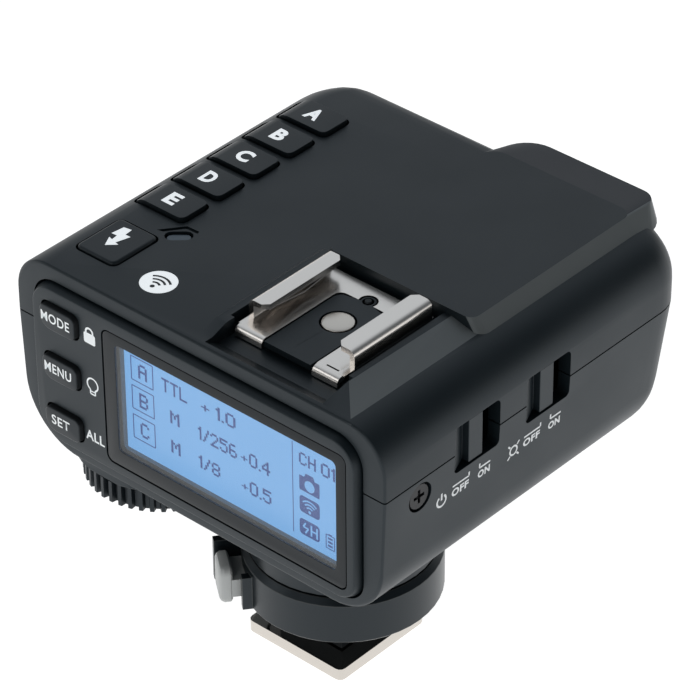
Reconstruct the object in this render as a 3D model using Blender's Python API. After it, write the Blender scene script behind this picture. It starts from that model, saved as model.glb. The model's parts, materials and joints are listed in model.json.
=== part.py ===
"""Wireless flash trigger: a hot-shoe radio transmitter with a screen, keys, dial and locking foot.

The frame is the world: +X to the right of a person who faces the screen, +Y away from that
person (the way the lens points), +Z up. The origin is on the axis of the locking collar, at
the underside of the foot plate. All sizes below are in millimetres; the meshes are in metres.
"""

import math

import bmesh
import bpy
from mathutils import Matrix, Vector

MM = 0.001
GAP = 0.3  # air between two pieces that meet

# Body
BODY_LEFT = -47.7
BODY_RIGHT = 24.3
BODY_REAR = -18.2
BODY_FRONT = 50.0
BODY_TOP = 55.5
BODY_BOTTOM = 22.4
WALL = 2.2
FLOOR_WALL = 1.0
PARTING_Z = 44.7  # where the top cover meets the bottom cover
RADIUS_TOP_LEFT = 6.5
RADIUS_TOP_RIGHT = 7.0
RADIUS_BOTTOM_RIGHT = 9.0
RADIUS_BOTTOM_LEFT = 10.3
RADIUS_PLAN_LEFT = 8.4  # upright corners at the front
RADIUS_PLAN_RIGHT = 6.5
RADIUS_DECK_FRONT = 3.0
RADIUS_FLOOR_FRONT = 5.0
REAR_EDGE = 0.35
REAR_WALL = 1.6
SIDE_DRAFT = 0.045  # how fast the side walls lean in below the parting line
FRONT_DRAFT = 0.165
BODY_MIDDLE_X = (BODY_LEFT + BODY_RIGHT) / 2
ARC_STEPS = 6

# Raised shoe surround and head block
SURROUND_TOP = 56.5
HEAD_TOP = 57.5
HEAD_REAR = 9.6
HEAD_FRONT = 52.4
HEAD_CREST = 46.0  # where the flat top starts to fall towards the front
HEAD_BROW = 57.0  # how high the front edge is
HEAD_FOOT_RIGHT = 19.0
HEAD_LEFT = -10.9
HEAD_RIGHT = 16.3
HEAD_SKIRT_BOTTOM = 46.5

# Accessory shoe on top
SHOE_HALF = 10.05
LIP_GAP_HALF = 6.7
SHOE_TOP = 58.6
SHOE_SHEET = 0.9
SHOE_SLOT = 2.1
SHOE_BASE_TOP = SHOE_TOP - SHOE_SHEET - SHOE_SLOT
SHOE_BASE_BOTTOM = SHOE_BASE_TOP - SHOE_SHEET
SHOE_REAR = -11.8
SHOE_FRONT = 8.6
LIP_REAR = -8.4
LIP_FRONT = 8.2
RECESS_HALF = 11.2
RECESS_FLOOR = SHOE_BASE_BOTTOM - GAP
TROUGH_FLOOR = 53.95
MOUTH_LEFT = -4.5  # cut-out in the bracket round the contacts
MOUTH_RIGHT = 4.9
MOUTH_FRONT = 4.8
MOUTH_BUMP = 1.5
SHOE_CENTRE_PLACE = (0.5, -1.2)
SHOE_CENTRE_RADIUS = 2.45
SHOE_SIGNAL_PLACE = (0.4, 5.4)
SHOE_SIGNAL_RADIUS = 0.6
TROUGH_LEFT = -10.4
TROUGH_RIGHT = 12.0
TROUGH_REAR = -17.2
TROUGH_DEEP = -14.6
TROUGH_FRONT = -11.0

# Rear panel, which stands proud of the covers' rear wall, and screen
PANEL_LEFT = -43.45
PANEL_RIGHT = 19.65
PANEL_BOTTOM = 25.0
PANEL_TOP = 52.45
PANEL_RADII = (3.8, 4.3, 3.5, 5.5)
PANEL_FACE = -19.4
PANEL_DRAFT = 0.3  # how much wider the panel is where it enters the covers
PANEL_WALL = 1.6
PLATE_BACK = -17.6
PANEL_BACK = -15.6
FLANGE_LIP = 1.2  # how far the panel's flange reaches past its face, inside the covers
FLANGE_RADII = (4.6, 5.2, 7.5, 8.0)
RIM_GAP = 0.65
LENS_LEFT = -29.0
LENS_RIGHT = 18.0
LENS_BOTTOM = 26.8
LENS_TOP = 50.3
LENS_FACE = -19.35
LENS_THICKNESS = 1.0
SCREEN_LEFT = -26.6
SCREEN_RIGHT = 14.3
SCREEN_BOTTOM = 29.4
SCREEN_TOP = 46.7
SCREEN_FACE = -17.2
LIGHT_BACK = -14.1

# Keys
REAR_KEY_LEFT = -41.15
REAR_KEY_RIGHT = -34.0
REAR_KEY_SPANS = {"mode_key": (45.75, 49.9), "menu_key": (36.7, 40.85), "set_key": (27.25, 31.4)}
REAR_KEY_GAP = 0.35
REAR_KEY_RADII = (1.0, 1.0, 1.0, 2.0)
REAR_KEY_FACE = -20.2
REAR_KEY_BACK = -16.7
TOP_KEY_LEFT = -43.6
TOP_KEY_RIGHT = -33.6
TOP_KEY_DEPTH = 5.9
TOP_KEY_PITCH = 7.8
TOP_KEY_FIRST_Y = 5.4  # middle of the key nearest the screen
TOP_KEY_TOP = 56.25
TEST_KEY_MIDDLE = (-37.2, -7.5)
TEST_KEY_SIZE = (7.9, 9.6)
TEST_KEY_TOP = 55.9

# Slide switches in the right wall
SWITCH_HEIGHT = 8.0
SWITCH_MIDDLE_Z = 45.3
SWITCH_WINDOW = 9.8
SWITCH_TRAVEL = 3.2
SLIDER_LENGTH = 6.3
SWITCH_BODY_FACE = 19.6
SWITCH_REAR_EDGES = {"power_switch": -3.3, "lamp_switch": 12.4}

# Dial under the rear left corner
DIAL_X = -31.2
DIAL_Y = -5.6
DIAL_RADIUS = 12.3
DIAL_BOTTOM = 17.2
DIAL_TOP = 21.0
DIAL_TEETH = 45
DIAL_GROOVE = 0.8
DIAL_BOSS_RADIUS = 13.4
DIAL_BOSS_BOTTOM = 21.4

# Foot and locking collar
FOOT_HALF = 9.35
FOOT_REAR = -11.1
FOOT_FRONT = 7.9
FOOT_THICKNESS = 2.0
NECK_HALF = 6.2
NECK_REAR = -7.3
COLLAR_BOTTOM = 7.6
COLLAR_TOP = 15.6
COLLAR_RADIUS = 15.15
DRUM_RADIUS = 14.3
HUB_RADIUS = 11.2
HUB_BOTTOM = 6.6
WIRE_HOLE_RADIUS = 4.0
LEVER_ANGLE = math.radians(232)
LEVER_HALF = 4.6
LEVER_REACH = 18.9
NEAR_WALL_REACH = 15.9
NEAR_WALL_DROP = 1.4  # how far the near wall stops below the collar's top
LEVER_WALL = 1.3
CONTACT_Y = -2.0
CENTRE_PIN_RADIUS = 1.0
SIGNAL_PINS = ((-4.4, 4.2), (4.4, 4.2), (4.4, -5.4))
SIGNAL_PIN_RADIUS = 0.6
PIN_CLEARANCE = 0.06
PIN_PROUD = 0.4
LOCK_PIN_PLACE = (-4.4, -5.4)
LOCK_PIN_RADIUS = 1.0

# Batteries and their door
CELL_RADIUS = 7.1
CELL_LEFT = -36.5
CELL_LENGTH = 49.5
CELL_Z = 33.0
CELL_YS = (22.1, 36.6)
DOOR_LEFT = -38.6
DOOR_RIGHT = 14.0
DOOR_REAR = 16.2
DOOR_FRONT = 41.0
DOOR_THICKNESS = 1.6
HINGE_Z = BODY_BOTTOM + 1.4
HINGE_Y = DOOR_FRONT - 1.4
HINGE_PIN_RADIUS = 0.6
PLATE_THICKNESS = 0.5
PLATE_HALF = 4.5

# Sockets in the left wall, side screws and the dial's encoder
JACK_Y = -2.5
PORT_Z = 36.1
SCREW_Y = -10.6
SCREW_Z = 41.6
SCREW_HEAD_RADIUS = 2.0
SHAFT_RADIUS = 2.0
SHAFT_TOP = 27.4

COLOURS = {
    "deck_plastic": ((0.030, 0.033, 0.036, 1.0), 0.55, 0.0),
    "key_plastic": ((0.026, 0.028, 0.031, 1.0), 0.50, 0.0),
    "inner_plastic": ((0.012, 0.012, 0.013, 1.0), 0.60, 0.0),
    "nickel": ((0.66, 0.63, 0.59, 1.0), 0.22, 1.0),
    "steel": ((0.45, 0.45, 0.45, 1.0), 0.35, 1.0),
    "gold": ((0.75, 0.58, 0.26, 1.0), 0.25, 1.0),
    "grey_plastic": ((0.48, 0.48, 0.45, 1.0), 0.45, 0.0),
    "lens": ((0.05, 0.06, 0.07, 0.35), 0.08, 0.0),
    "screen": ((0.20, 0.45, 0.83, 1.0), 0.30, 0.0),
    "light_pipe": ((0.30, 0.36, 0.38, 1.0), 0.25, 0.0),
    "lamp_window": ((0.10, 0.005, 0.006, 1.0), 0.15, 0.0),
    "board": ((0.02, 0.12, 0.05, 1.0), 0.50, 0.0),
    "cell": ((0.10, 0.11, 0.13, 1.0), 0.35, 0.3),
}


def clear_scene():
    for old in list(bpy.data.objects):
        bpy.data.objects.remove(old, do_unlink=True)


def material(name):
    """One Principled material per finish, made when it is first asked for."""
    found = bpy.data.materials.get(name)
    if found:
        return found
    colour, roughness, metallic = COLOURS[name]
    made = bpy.data.materials.new(name)
    made.use_nodes = True
    shader = made.node_tree.nodes["Principled BSDF"]
    shader.inputs["Base Color"].default_value = colour
    shader.inputs["Roughness"].default_value = roughness
    shader.inputs["Metallic"].default_value = metallic
    made.diffuse_color = colour
    return made


# ---------------------------------------------------------------- shapes


def object_from(name, mesh_maker, finish=None):
    """A new object from a bmesh whose vertices are in millimetres."""
    bmesh.ops.remove_doubles(mesh_maker, verts=mesh_maker.verts, dist=0.001)
    bmesh.ops.scale(mesh_maker, vec=(MM, MM, MM), verts=mesh_maker.verts)
    bmesh.ops.recalc_face_normals(mesh_maker, faces=mesh_maker.faces)
    mesh = bpy.data.meshes.new(name)
    mesh_maker.to_mesh(mesh)
    mesh_maker.free()
    if finish:
        mesh.materials.append(material(finish))
    made = bpy.data.objects.new(name, mesh)
    bpy.context.collection.objects.link(made)
    return made


def loft(name, sections, finish=None):
    """A closed body through rings of points that all have the same number of points."""
    maker = bmesh.new()
    rings = [[maker.verts.new(point) for point in ring] for ring in sections]
    for low, high in zip(rings, rings[1:]):
        for i in range(len(low)):
            j = (i + 1) % len(low)
            maker.faces.new((low[i], low[j], high[j], high[i]))
    maker.faces.new(rings[0])
    maker.faces.new(rings[-1])
    return object_from(name, maker, finish)


def placed(axis, a, b, along):
    """A point given by two coordinates in a plane and its place along the plane's axis."""
    if axis == "X":
        return (along, a, b)
    if axis == "Y":
        return (a, along, b)
    return (a, b, along)


def prism(name, outline, low, high, axis="Z", finish=None):
    rings = [[placed(axis, a, b, along) for a, b in outline] for along in (low, high)]
    return loft(name, rings, finish)


def box(name, low, high, finish=None):
    outline = ((low[0], low[1]), (high[0], low[1]), (high[0], high[1]), (low[0], high[1]))
    return prism(name, outline, low[2], high[2], "Z", finish)


def arc(centre_a, centre_b, radius, start, end, steps=ARC_STEPS):
    """Points on an arc, angles in degrees."""
    turns = [math.radians(start + (end - start) * i / steps) for i in range(steps + 1)]
    return [(centre_a + radius * math.cos(t), centre_b + radius * math.sin(t)) for t in turns]


def rounded(left, right, bottom, top, radii, steps=ARC_STEPS):
    """A rectangle with its own radius at each corner: top left, top right, bottom right, bottom left."""
    top_left, top_right, bottom_right, bottom_left = radii
    return (
        arc(right - top_right, top - top_right, top_right, 0, 90, steps)
        + arc(left + top_left, top - top_left, top_left, 90, 180, steps)
        + arc(left + bottom_left, bottom + bottom_left, bottom_left, 180, 270, steps)
        + arc(right - bottom_right, bottom + bottom_right, bottom_right, 270, 360, steps)
    )


def rounded_block(name, low, high, radius, axis="Z", edge=0.0, finish=None, steps=3):
    """A block with round corners across its axis and an optional chamfer at its far end."""
    corners = {"X": (1, 2, 0), "Y": (0, 2, 1), "Z": (0, 1, 2)}[axis]
    a, b, c = corners

    def ring(inset, along):
        size = max(radius - inset, 0.05)
        outline = rounded(
            low[a] + inset, high[a] - inset, low[b] + inset, high[b] - inset, (size,) * 4, steps
        )
        return [placed(axis, first, second, along) for first, second in outline]

    rings = [ring(0, low[c]), ring(0, high[c] - edge)]
    if edge:
        rings.append(ring(edge, high[c]))
    return loft(name, rings, finish)


def turned(name, profile, centre, finish=None, steps=32):
    """A solid turned about an upright axis, from points given as radius and height."""
    maker = bmesh.new()
    rings = []
    for radius, height in profile:
        if radius == 0:
            rings.append([maker.verts.new((centre[0], centre[1], height))])
            continue
        ring = [
            maker.verts.new((a, b, height))
            for a, b in arc(centre[0], centre[1], radius, 0, 360, steps)[:-1]
        ]
        rings.append(ring)
    closed = profile[0][0] != 0 or profile[-1][0] != 0
    pairs = list(zip(rings, rings[1:] + rings[:1])) if closed else list(zip(rings, rings[1:]))
    for low, high in pairs:
        for i in range(steps):
            j = (i + 1) % steps
            corners = [low[i % len(low)], low[j % len(low)], high[j % len(high)], high[i % len(high)]]
            corners = [corner for k, corner in enumerate(corners) if corner not in corners[:k]]
            if len(corners) > 2:
                maker.faces.new(corners)
    return object_from(name, maker, finish)


def rod(name, start, end, radius, finish=None, steps=16):
    """A round bar between two points."""
    start, end = Vector(start), Vector(end)
    maker = bmesh.new()
    bmesh.ops.create_cone(
        maker, cap_ends=True, segments=steps, radius1=radius, radius2=radius, depth=(end - start).length
    )
    turn = Vector((0, 0, 1)).rotation_difference(end - start).to_matrix().to_4x4()
    bmesh.ops.transform(maker, matrix=Matrix.Translation((start + end) / 2) @ turn, verts=maker.verts)
    return object_from(name, maker, finish)


def bore(name, centre, radius, low_z, high_z, steps=20):
    """An upright round bar, for a hole or a shaft."""
    return prism(name, arc(*centre, radius, 0, 360, steps)[:-1], low_z, high_z)


def hull(name, points, finish=None):
    maker = bmesh.new()
    for point in points:
        maker.verts.new(point)
    result = bmesh.ops.convex_hull(maker, input=maker.verts)
    loose = [item for item in result["geom_interior"] if isinstance(item, bmesh.types.BMVert)]
    bmesh.ops.delete(maker, geom=loose, context="VERTS")
    bmesh.ops.dissolve_limit(maker, angle_limit=0.001, verts=maker.verts, edges=maker.edges)
    return object_from(name, maker, finish)


def combine(target, tools, operation):
    """Joins tools to target, or cuts them from it, and removes them."""
    for tool in tools:
        tool.hide_render = True
        tool.display_type = "WIRE"
        step = target.modifiers.new("combine", "BOOLEAN")
        step.operation = operation
        step.object = tool
        step.solver = "EXACT"
    graph = bpy.context.evaluated_depsgraph_get()
    result = bpy.data.meshes.new_from_object(target.evaluated_get(graph))
    target.modifiers.clear()
    target.data = result
    for tool in tools:
        bpy.data.objects.remove(tool, do_unlink=True)
    return target


def cut(target, *tools):
    return combine(target, tools, "DIFFERENCE")


def join(target, *tools):
    return combine(target, tools, "UNION")


def smooth(target, degrees=40):
    target.data.shade_smooth()
    target.data.set_sharp_from_angle(angle=math.radians(degrees))
    return target


def pivot(target, point):
    """Moves the object's origin to a point on its joint's axis and leaves the shape in place."""
    place = Vector(point) * MM
    target.data.transform(Matrix.Translation(-place))
    target.location = place
    return target


# ---------------------------------------------------------------- body


def edge_inset(radius, depth):
    """How far a rounded edge has drawn in at a depth below the face it rounds into."""
    if depth >= radius:
        return 0.0
    return radius - math.sqrt(radius**2 - (radius - depth) ** 2)


def leaned(x, y, z):
    """Applies the bottom cover's draft, by which its side and front walls lean in downwards."""
    below = PARTING_Z - z
    half_width = (BODY_RIGHT - BODY_LEFT) / 2
    x += (BODY_MIDDLE_X - x) / half_width * SIDE_DRAFT * below
    y -= (y - BODY_REAR) / (BODY_FRONT - BODY_REAR) * FRONT_DRAFT * below
    return (x, y, z)


def body_form(name, inset, rear, drafted):
    """The outside of the body, or with an inset its cavity, as rings from rear to front."""
    front = BODY_FRONT - inset
    floor_inset = FLOOR_WALL if inset else 0.0
    depths = (0.0, 0.4, 1.2, 2.4, 4.2, RADIUS_PLAN_RIGHT, RADIUS_PLAN_LEFT)
    sections = []
    stations = [(rear, REAR_EDGE / 2 if inset == 0 else 0.0)]
    if inset == 0:
        stations.append((rear + REAR_EDGE, 0.0))
    stations += [(front - depth, None) for depth in reversed(depths)]
    for y, rear_inset in stations:
        depth = front - y
        if rear_inset is None:
            left = edge_inset(RADIUS_PLAN_LEFT - inset, depth)
            right = edge_inset(RADIUS_PLAN_RIGHT - inset, depth)
            top = edge_inset(RADIUS_DECK_FRONT, depth)
            floor = edge_inset(RADIUS_FLOOR_FRONT, depth)
        else:
            left = right = top = floor = rear_inset
        outline = rounded(
            BODY_LEFT + inset + left,
            BODY_RIGHT - inset - right,
            BODY_BOTTOM + floor_inset + floor,
            BODY_TOP - inset - top,
            [
                radius - inset
                for radius in (
                    RADIUS_TOP_LEFT,
                    RADIUS_TOP_RIGHT,
                    RADIUS_BOTTOM_RIGHT,
                    RADIUS_BOTTOM_LEFT,
                )
            ],
        )
        place = leaned if drafted else (lambda *point: point)
        sections.append([place(x, y, z) for x, z in outline])
    return loft(name, sections)


def surround_form():
    """The raised rim round the accessory shoe, sloping to the deck on three sides."""
    top = [(-12.4, -12.6), (12.1, -11.9), (12.5, HEAD_REAR + 1), (-12.4, HEAD_REAR + 1)]
    hem = [(18.0, -18.1), (18.0, HEAD_REAR + 1)]
    foot = [(-12.4, -17.6), *hem, (-14.6, HEAD_REAR + 1)]
    points = [(x, y, SURROUND_TOP) for x, y in top] + [(x, y, BODY_TOP - 0.15) for x, y in hem]
    points += [(x, y, BODY_TOP - 0.7) for x, y in foot]
    return hull("surround_form", points)


def head_form():
    """The block in front of the shoe, which houses the aerial and the focus lamp."""
    crest = rounded(HEAD_LEFT, HEAD_RIGHT, HEAD_REAR, HEAD_CREST, (3.0, 2.0, 1.6, 1.0), 4)
    brow = rounded(HEAD_LEFT + 0.9, HEAD_RIGHT, HEAD_FRONT - 8, HEAD_FRONT, (5.5, 3.0, 1.0, 1.0), 4)
    foot = rounded(-13.4, HEAD_FOOT_RIGHT, HEAD_REAR - 0.3, HEAD_FRONT, (8.0, 6.0, 1.8, 1.0), 4)
    points = [(x, y, HEAD_TOP) for x, y in crest]
    points += [(x, y, HEAD_BROW) for x, y in brow]
    points += [(x, y, BODY_TOP - 0.9) for x, y in foot]
    return hull("head_form", points)


def head_skirt():
    """The head block's front face where it runs down the front wall."""
    outline = rounded(-12.8, 18.0, BODY_FRONT - 8, HEAD_FRONT, (8.0, 6.0, 1.0, 1.0), 4)
    return prism("head_skirt", outline, HEAD_SKIRT_BOTTOM, BODY_TOP - 0.5)


def switch_windows():
    """Cutters for the two switch openings, which the parting line crosses."""
    windows = []
    for name, rear in SWITCH_REAR_EDGES.items():
        low = (BODY_RIGHT - WALL - 4, rear, SWITCH_MIDDLE_Z - SWITCH_HEIGHT / 2)
        high = (BODY_RIGHT + 1, rear + SWITCH_WINDOW, SWITCH_MIDDLE_Z + SWITCH_HEIGHT / 2)
        windows.append(rounded_block(f"{name}_window", low, high, 0.8, "X"))
    return windows


def half_space(name, low_z, high_z):
    return box(name, (-70, -40, low_z), (50, 80, high_z))


def top_key_middles():
    return [TOP_KEY_FIRST_Y + TOP_KEY_PITCH * i for i in range(5)]


def pill(name, low_z, high_z, radius, reach, finish=None):
    """A capsule outline at the status light, lying along the deck's diagonal."""
    middle_x, middle_y, turn = -31.7, -0.2, math.radians(42)
    outline = arc(reach, 0, radius, -90, 90, 6) + arc(-reach, 0, radius, 90, 270, 6)
    points = [
        (
            middle_x + a * math.cos(turn) - b * math.sin(turn),
            middle_y + a * math.sin(turn) + b * math.cos(turn),
        )
        for a, b in outline
    ]
    return prism(name, points, low_z, high_z, "Z", finish)


def build_top_cover():
    cover = body_form("top_cover", 0, BODY_REAR, drafted=False)
    cover.data.materials.append(material("deck_plastic"))
    join(cover, surround_form())
    join(cover, head_form())
    join(cover, head_skirt())
    cut(cover, body_form("cavity", WALL, BODY_REAR + REAR_WALL, drafted=False))
    cut(cover, panel_opening())
    cut(cover, half_space("below", 0, PARTING_Z + GAP / 2))
    recess = box("recess", (-RECESS_HALF, TROUGH_FRONT, RECESS_FLOOR), (RECESS_HALF, HEAD_REAR, 60))
    trough_side = [(TROUGH_REAR, 60), (TROUGH_REAR, BODY_TOP - 0.1), (TROUGH_DEEP, TROUGH_FLOOR)]
    trough_side += [(TROUGH_FRONT + 0.1, TROUGH_FLOOR), (TROUGH_FRONT + 0.1, 60)]
    trough = prism("trough", trough_side, TROUGH_LEFT, TROUGH_RIGHT, "X")
    cut(cover, recess, trough)
    cutters = switch_windows()
    for middle in top_key_middles():
        half = TOP_KEY_DEPTH / 2 + GAP
        cutters.append(
            rounded_block(
                "key_hole",
                (TOP_KEY_LEFT - GAP, middle - half, 48),
                (TOP_KEY_RIGHT + GAP, middle + half, 60),
                1.2,
            )
        )
    test_x, test_y = TEST_KEY_MIDDLE
    half_x, half_y = TEST_KEY_SIZE[0] / 2 + GAP, TEST_KEY_SIZE[1] / 2 + GAP
    cutters.append(
        rounded_block(
            "test_hole", (test_x - half_x, test_y - half_y, 48), (test_x + half_x, test_y + half_y, 60), 1.3
        )
    )
    cutters.append(pill("light_hole", 48, 60, 1.15, 1.0))
    cutters.append(rounded_block("lamp_hole", (-7.0, 45, 47.6), (7.0, 60, 53.4), 1.2, "Y"))
    cut(cover, *cutters)
    return smooth(cover)


def build_bottom_cover():
    cover = body_form("bottom_cover", 0, BODY_REAR, drafted=True)
    cover.data.materials.append(material("deck_plastic"))
    boss_top = BODY_BOTTOM + FLOOR_WALL + 0.4
    boss_profile = [
        (DIAL_BOSS_RADIUS - 0.6, DIAL_BOSS_BOTTOM),
        (DIAL_BOSS_RADIUS, DIAL_BOSS_BOTTOM + 0.6),
        (DIAL_BOSS_RADIUS, boss_top),
    ]
    rings = []
    for radius, z in boss_profile:
        rings.append([(x, y, z) for x, y in arc(DIAL_X, DIAL_Y, radius, 0, 360, 40)[:-1]])
    boss = loft("boss", rings)
    cut(boss, box("behind", (-60, -40, 10), (0, BODY_REAR + 0.1, 40)))
    join(cover, boss)
    cut(cover, body_form("cavity", WALL, BODY_REAR + REAR_WALL, drafted=True))
    cut(cover, panel_opening())
    cut(cover, bore("shaft_hole", (DIAL_X, DIAL_Y), SHAFT_RADIUS + GAP, 18, 30, 16))
    cut(cover, half_space("above", PARTING_Z - GAP / 2, 80))
    cutters = switch_windows()
    cutters.append(
        box(
            "door_hole",
            (DOOR_LEFT - GAP, DOOR_REAR - GAP, 15),
            (DOOR_RIGHT + GAP, DOOR_FRONT + GAP, 30),
        )
    )
    for outside, inside, seat in ((26, 18, BODY_RIGHT - 1.3), (-49, -42, BODY_LEFT + 1.3)):
        mouth = (outside, SCREW_Y, SCREW_Z)
        cutters.append(rod("screw_hole", (inside, SCREW_Y, SCREW_Z), mouth, 1.3))
        cutters.append(rod("screw_seat", (seat, SCREW_Y, SCREW_Z), mouth, SCREW_HEAD_RADIUS + 0.4))
    cutters.append(rounded_block("usb_hole", (-52, 2.8, 34.3), (-43, 12.2, 37.9), 1.2, "X"))
    cutters.append(rod("jack_hole", (-52, JACK_Y, PORT_Z), (-43, JACK_Y, PORT_Z), 2.4))
    cutters.append(bore("wire_hole", (0, 0), WIRE_HOLE_RADIUS, 15, 30))
    cut(cover, *cutters)
    knuckles = []
    for left, right in ((DOOR_LEFT + 6.3, DOOR_LEFT + 9.0), (DOOR_RIGHT - 9.0, DOOR_RIGHT - 6.3)):
        low, high = (left, HINGE_Y - 1.3, HINGE_Z - 1.0), (right, DOOR_FRONT + 1.2, HINGE_Z + 1.2)
        knuckles.append(box("knuckle", low, high))
    join(cover, *knuckles)
    cut(cover, hinge_rod("pin_hole", 0.0, HINGE_PIN_RADIUS + 0.05))
    return smooth(cover)


def panel_outline(grow):
    """The rear panel's outline, grown outwards or drawn in."""
    return rounded(
        PANEL_LEFT - grow,
        PANEL_RIGHT + grow,
        PANEL_BOTTOM - grow,
        PANEL_TOP + grow,
        [radius + grow for radius in PANEL_RADII],
    )


def panel_opening():
    """A cutter for the opening in the covers' rear wall that the panel stands out of."""
    front = BODY_REAR + REAR_WALL + 1
    return prism("panel_opening", panel_outline(RIM_GAP), BODY_REAR - 2, front, "Y")


def rear_key_form(name, span, clearance, rear, front, finish=None):
    """A rear key's prism, or with a clearance the hole that it moves in."""
    outline = rounded(
        REAR_KEY_LEFT - clearance,
        REAR_KEY_RIGHT + clearance,
        span[0] - clearance,
        span[1] + clearance,
        [radius + clearance for radius in REAR_KEY_RADII],
        4,
    )
    return prism(name, outline, rear, front, "Y", finish)


def build_rear_panel():
    inside = BODY_REAR + REAR_WALL + GAP
    rings = []
    for y, grow in ((PANEL_FACE, 0.0), (BODY_REAR, PANEL_DRAFT), (PANEL_BACK, PANEL_DRAFT)):
        rings.append([(x, y, z) for x, z in panel_outline(grow)])
    panel = loft("rear_panel", rings, "deck_plastic")
    flange = rounded(
        PANEL_LEFT - FLANGE_LIP,
        PANEL_RIGHT + FLANGE_LIP,
        PANEL_BOTTOM - 0.4,
        PANEL_TOP + 0.55,
        FLANGE_RADII,
    )
    join(panel, prism("flange", flange, inside, PANEL_BACK, "Y"))
    pocket = panel_outline(-PANEL_WALL)
    lens_low = (LENS_LEFT - GAP, -25, LENS_BOTTOM - GAP)
    lens_high = (LENS_RIGHT + GAP, LENS_FACE + LENS_THICKNESS + GAP, LENS_TOP + GAP)
    screen_low = (SCREEN_LEFT - 1.2, -25, SCREEN_BOTTOM - 1.2)
    cutters = [
        prism("pocket", pocket, PLATE_BACK, -10, "Y"),
        rounded_block("lens_hole", lens_low, lens_high, 1.3, "Y"),
        box("screen_hole", screen_low, (SCREEN_RIGHT + 1.2, -10, SCREEN_TOP + 1.2)),
    ]
    for span in REAR_KEY_SPANS.values():
        cutters.append(rear_key_form("key_hole", span, REAR_KEY_GAP, -25, -10))
    return smooth(cut(panel, *cutters))


# ---------------------------------------------------------------- screen


def build_screen():
    lens_low = (LENS_LEFT, LENS_FACE, LENS_BOTTOM)
    lens_high = (LENS_RIGHT, LENS_FACE + LENS_THICKNESS, LENS_TOP)
    lens = rounded_block("screen_lens", lens_low, lens_high, 1.0, "Y", finish="lens")
    frame = box(
        "screen_frame",
        (SCREEN_LEFT - 2.2, PLATE_BACK + GAP, SCREEN_BOTTOM - 1.5),
        (SCREEN_RIGHT + 2.2, LIGHT_BACK, SCREEN_TOP + 2.2),
        "grey_plastic",
    )
    window_low = (SCREEN_LEFT - 0.9, -22, SCREEN_BOTTOM - 0.6)
    window_high = (SCREEN_RIGHT + 0.9, -8, SCREEN_TOP + 0.9)
    cut(frame, box("window", window_low, window_high))
    glass = box(
        "lcd_glass",
        (SCREEN_LEFT - 0.6, SCREEN_FACE, SCREEN_BOTTOM - 0.3),
        (SCREEN_RIGHT + 0.6, SCREEN_FACE + 1.4, SCREEN_TOP + 0.6),
        "screen",
    )
    light_low = (SCREEN_LEFT - 0.6, SCREEN_FACE + 1.7, SCREEN_BOTTOM - 0.3)
    light_high = (SCREEN_RIGHT + 0.6, LIGHT_BACK, SCREEN_TOP + 0.6)
    light = box("lcd_backlight", light_low, light_high, "light_pipe")
    return smooth(lens), glass, light


# ---------------------------------------------------------------- keys


def build_rear_keys():
    middle_x = (REAR_KEY_LEFT + REAR_KEY_RIGHT) / 2
    for name, (low, high) in REAR_KEY_SPANS.items():
        middle = (low + high) / 2
        key = rear_key_form(name, (low, high), 0, REAR_KEY_FACE, REAR_KEY_BACK, "key_plastic")
        flange_low = (middle_x, PLATE_BACK + GAP, low + 0.5)
        flange_high = (REAR_KEY_RIGHT + 1.0, REAR_KEY_BACK, high - 0.5)
        join(key, box("flange", flange_low, flange_high))
        pivot(smooth(key), (middle_x, REAR_KEY_FACE, middle))


def build_top_keys():
    letters = "edcba"
    for letter, middle in zip(letters, top_key_middles()):
        half = TOP_KEY_DEPTH / 2
        side = [(TOP_KEY_RIGHT, 52.6), (TOP_KEY_RIGHT, TOP_KEY_TOP)]
        side += arc(TOP_KEY_LEFT + 2.4, TOP_KEY_TOP - 2.4, 2.4, 90, 180, 4)
        side += [(TOP_KEY_LEFT, 52.6)]
        key = prism(f"key_{letter}", side, middle - half, middle + half, "Y", "key_plastic")
        corners = rounded_block(
            "corners", (TOP_KEY_LEFT, middle - half, 50), (TOP_KEY_RIGHT, middle + half, 60), 1.0
        )
        combine(key, [corners], "INTERSECT")
        stem = box("stem", (-39.5, middle - 1.2, 50.1), (-37.5, middle + 1.2, 53.2))
        join(key, stem)
        pivot(smooth(key), (-38.5, middle, TOP_KEY_TOP))


def build_test_key():
    x, y = TEST_KEY_MIDDLE
    half_x, half_y = TEST_KEY_SIZE[0] / 2, TEST_KEY_SIZE[1] / 2
    key = rounded_block(
        "test_key",
        (x - half_x, y - half_y, 52.2),
        (x + half_x, y + half_y, TEST_KEY_TOP),
        1.0,
        edge=0.3,
        finish="key_plastic",
    )
    join(key, box("stem", (x - 1.2, y - 1.2, 50.1), (x + 1.2, y + 1.2, 53)))
    pivot(smooth(key), (x, y, TEST_KEY_TOP))


def build_light_pipe():
    return pill("status_light_pipe", 52.0, BODY_TOP - 0.35, 0.85, 1.0, "light_pipe")


# ---------------------------------------------------------------- accessory shoe


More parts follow.
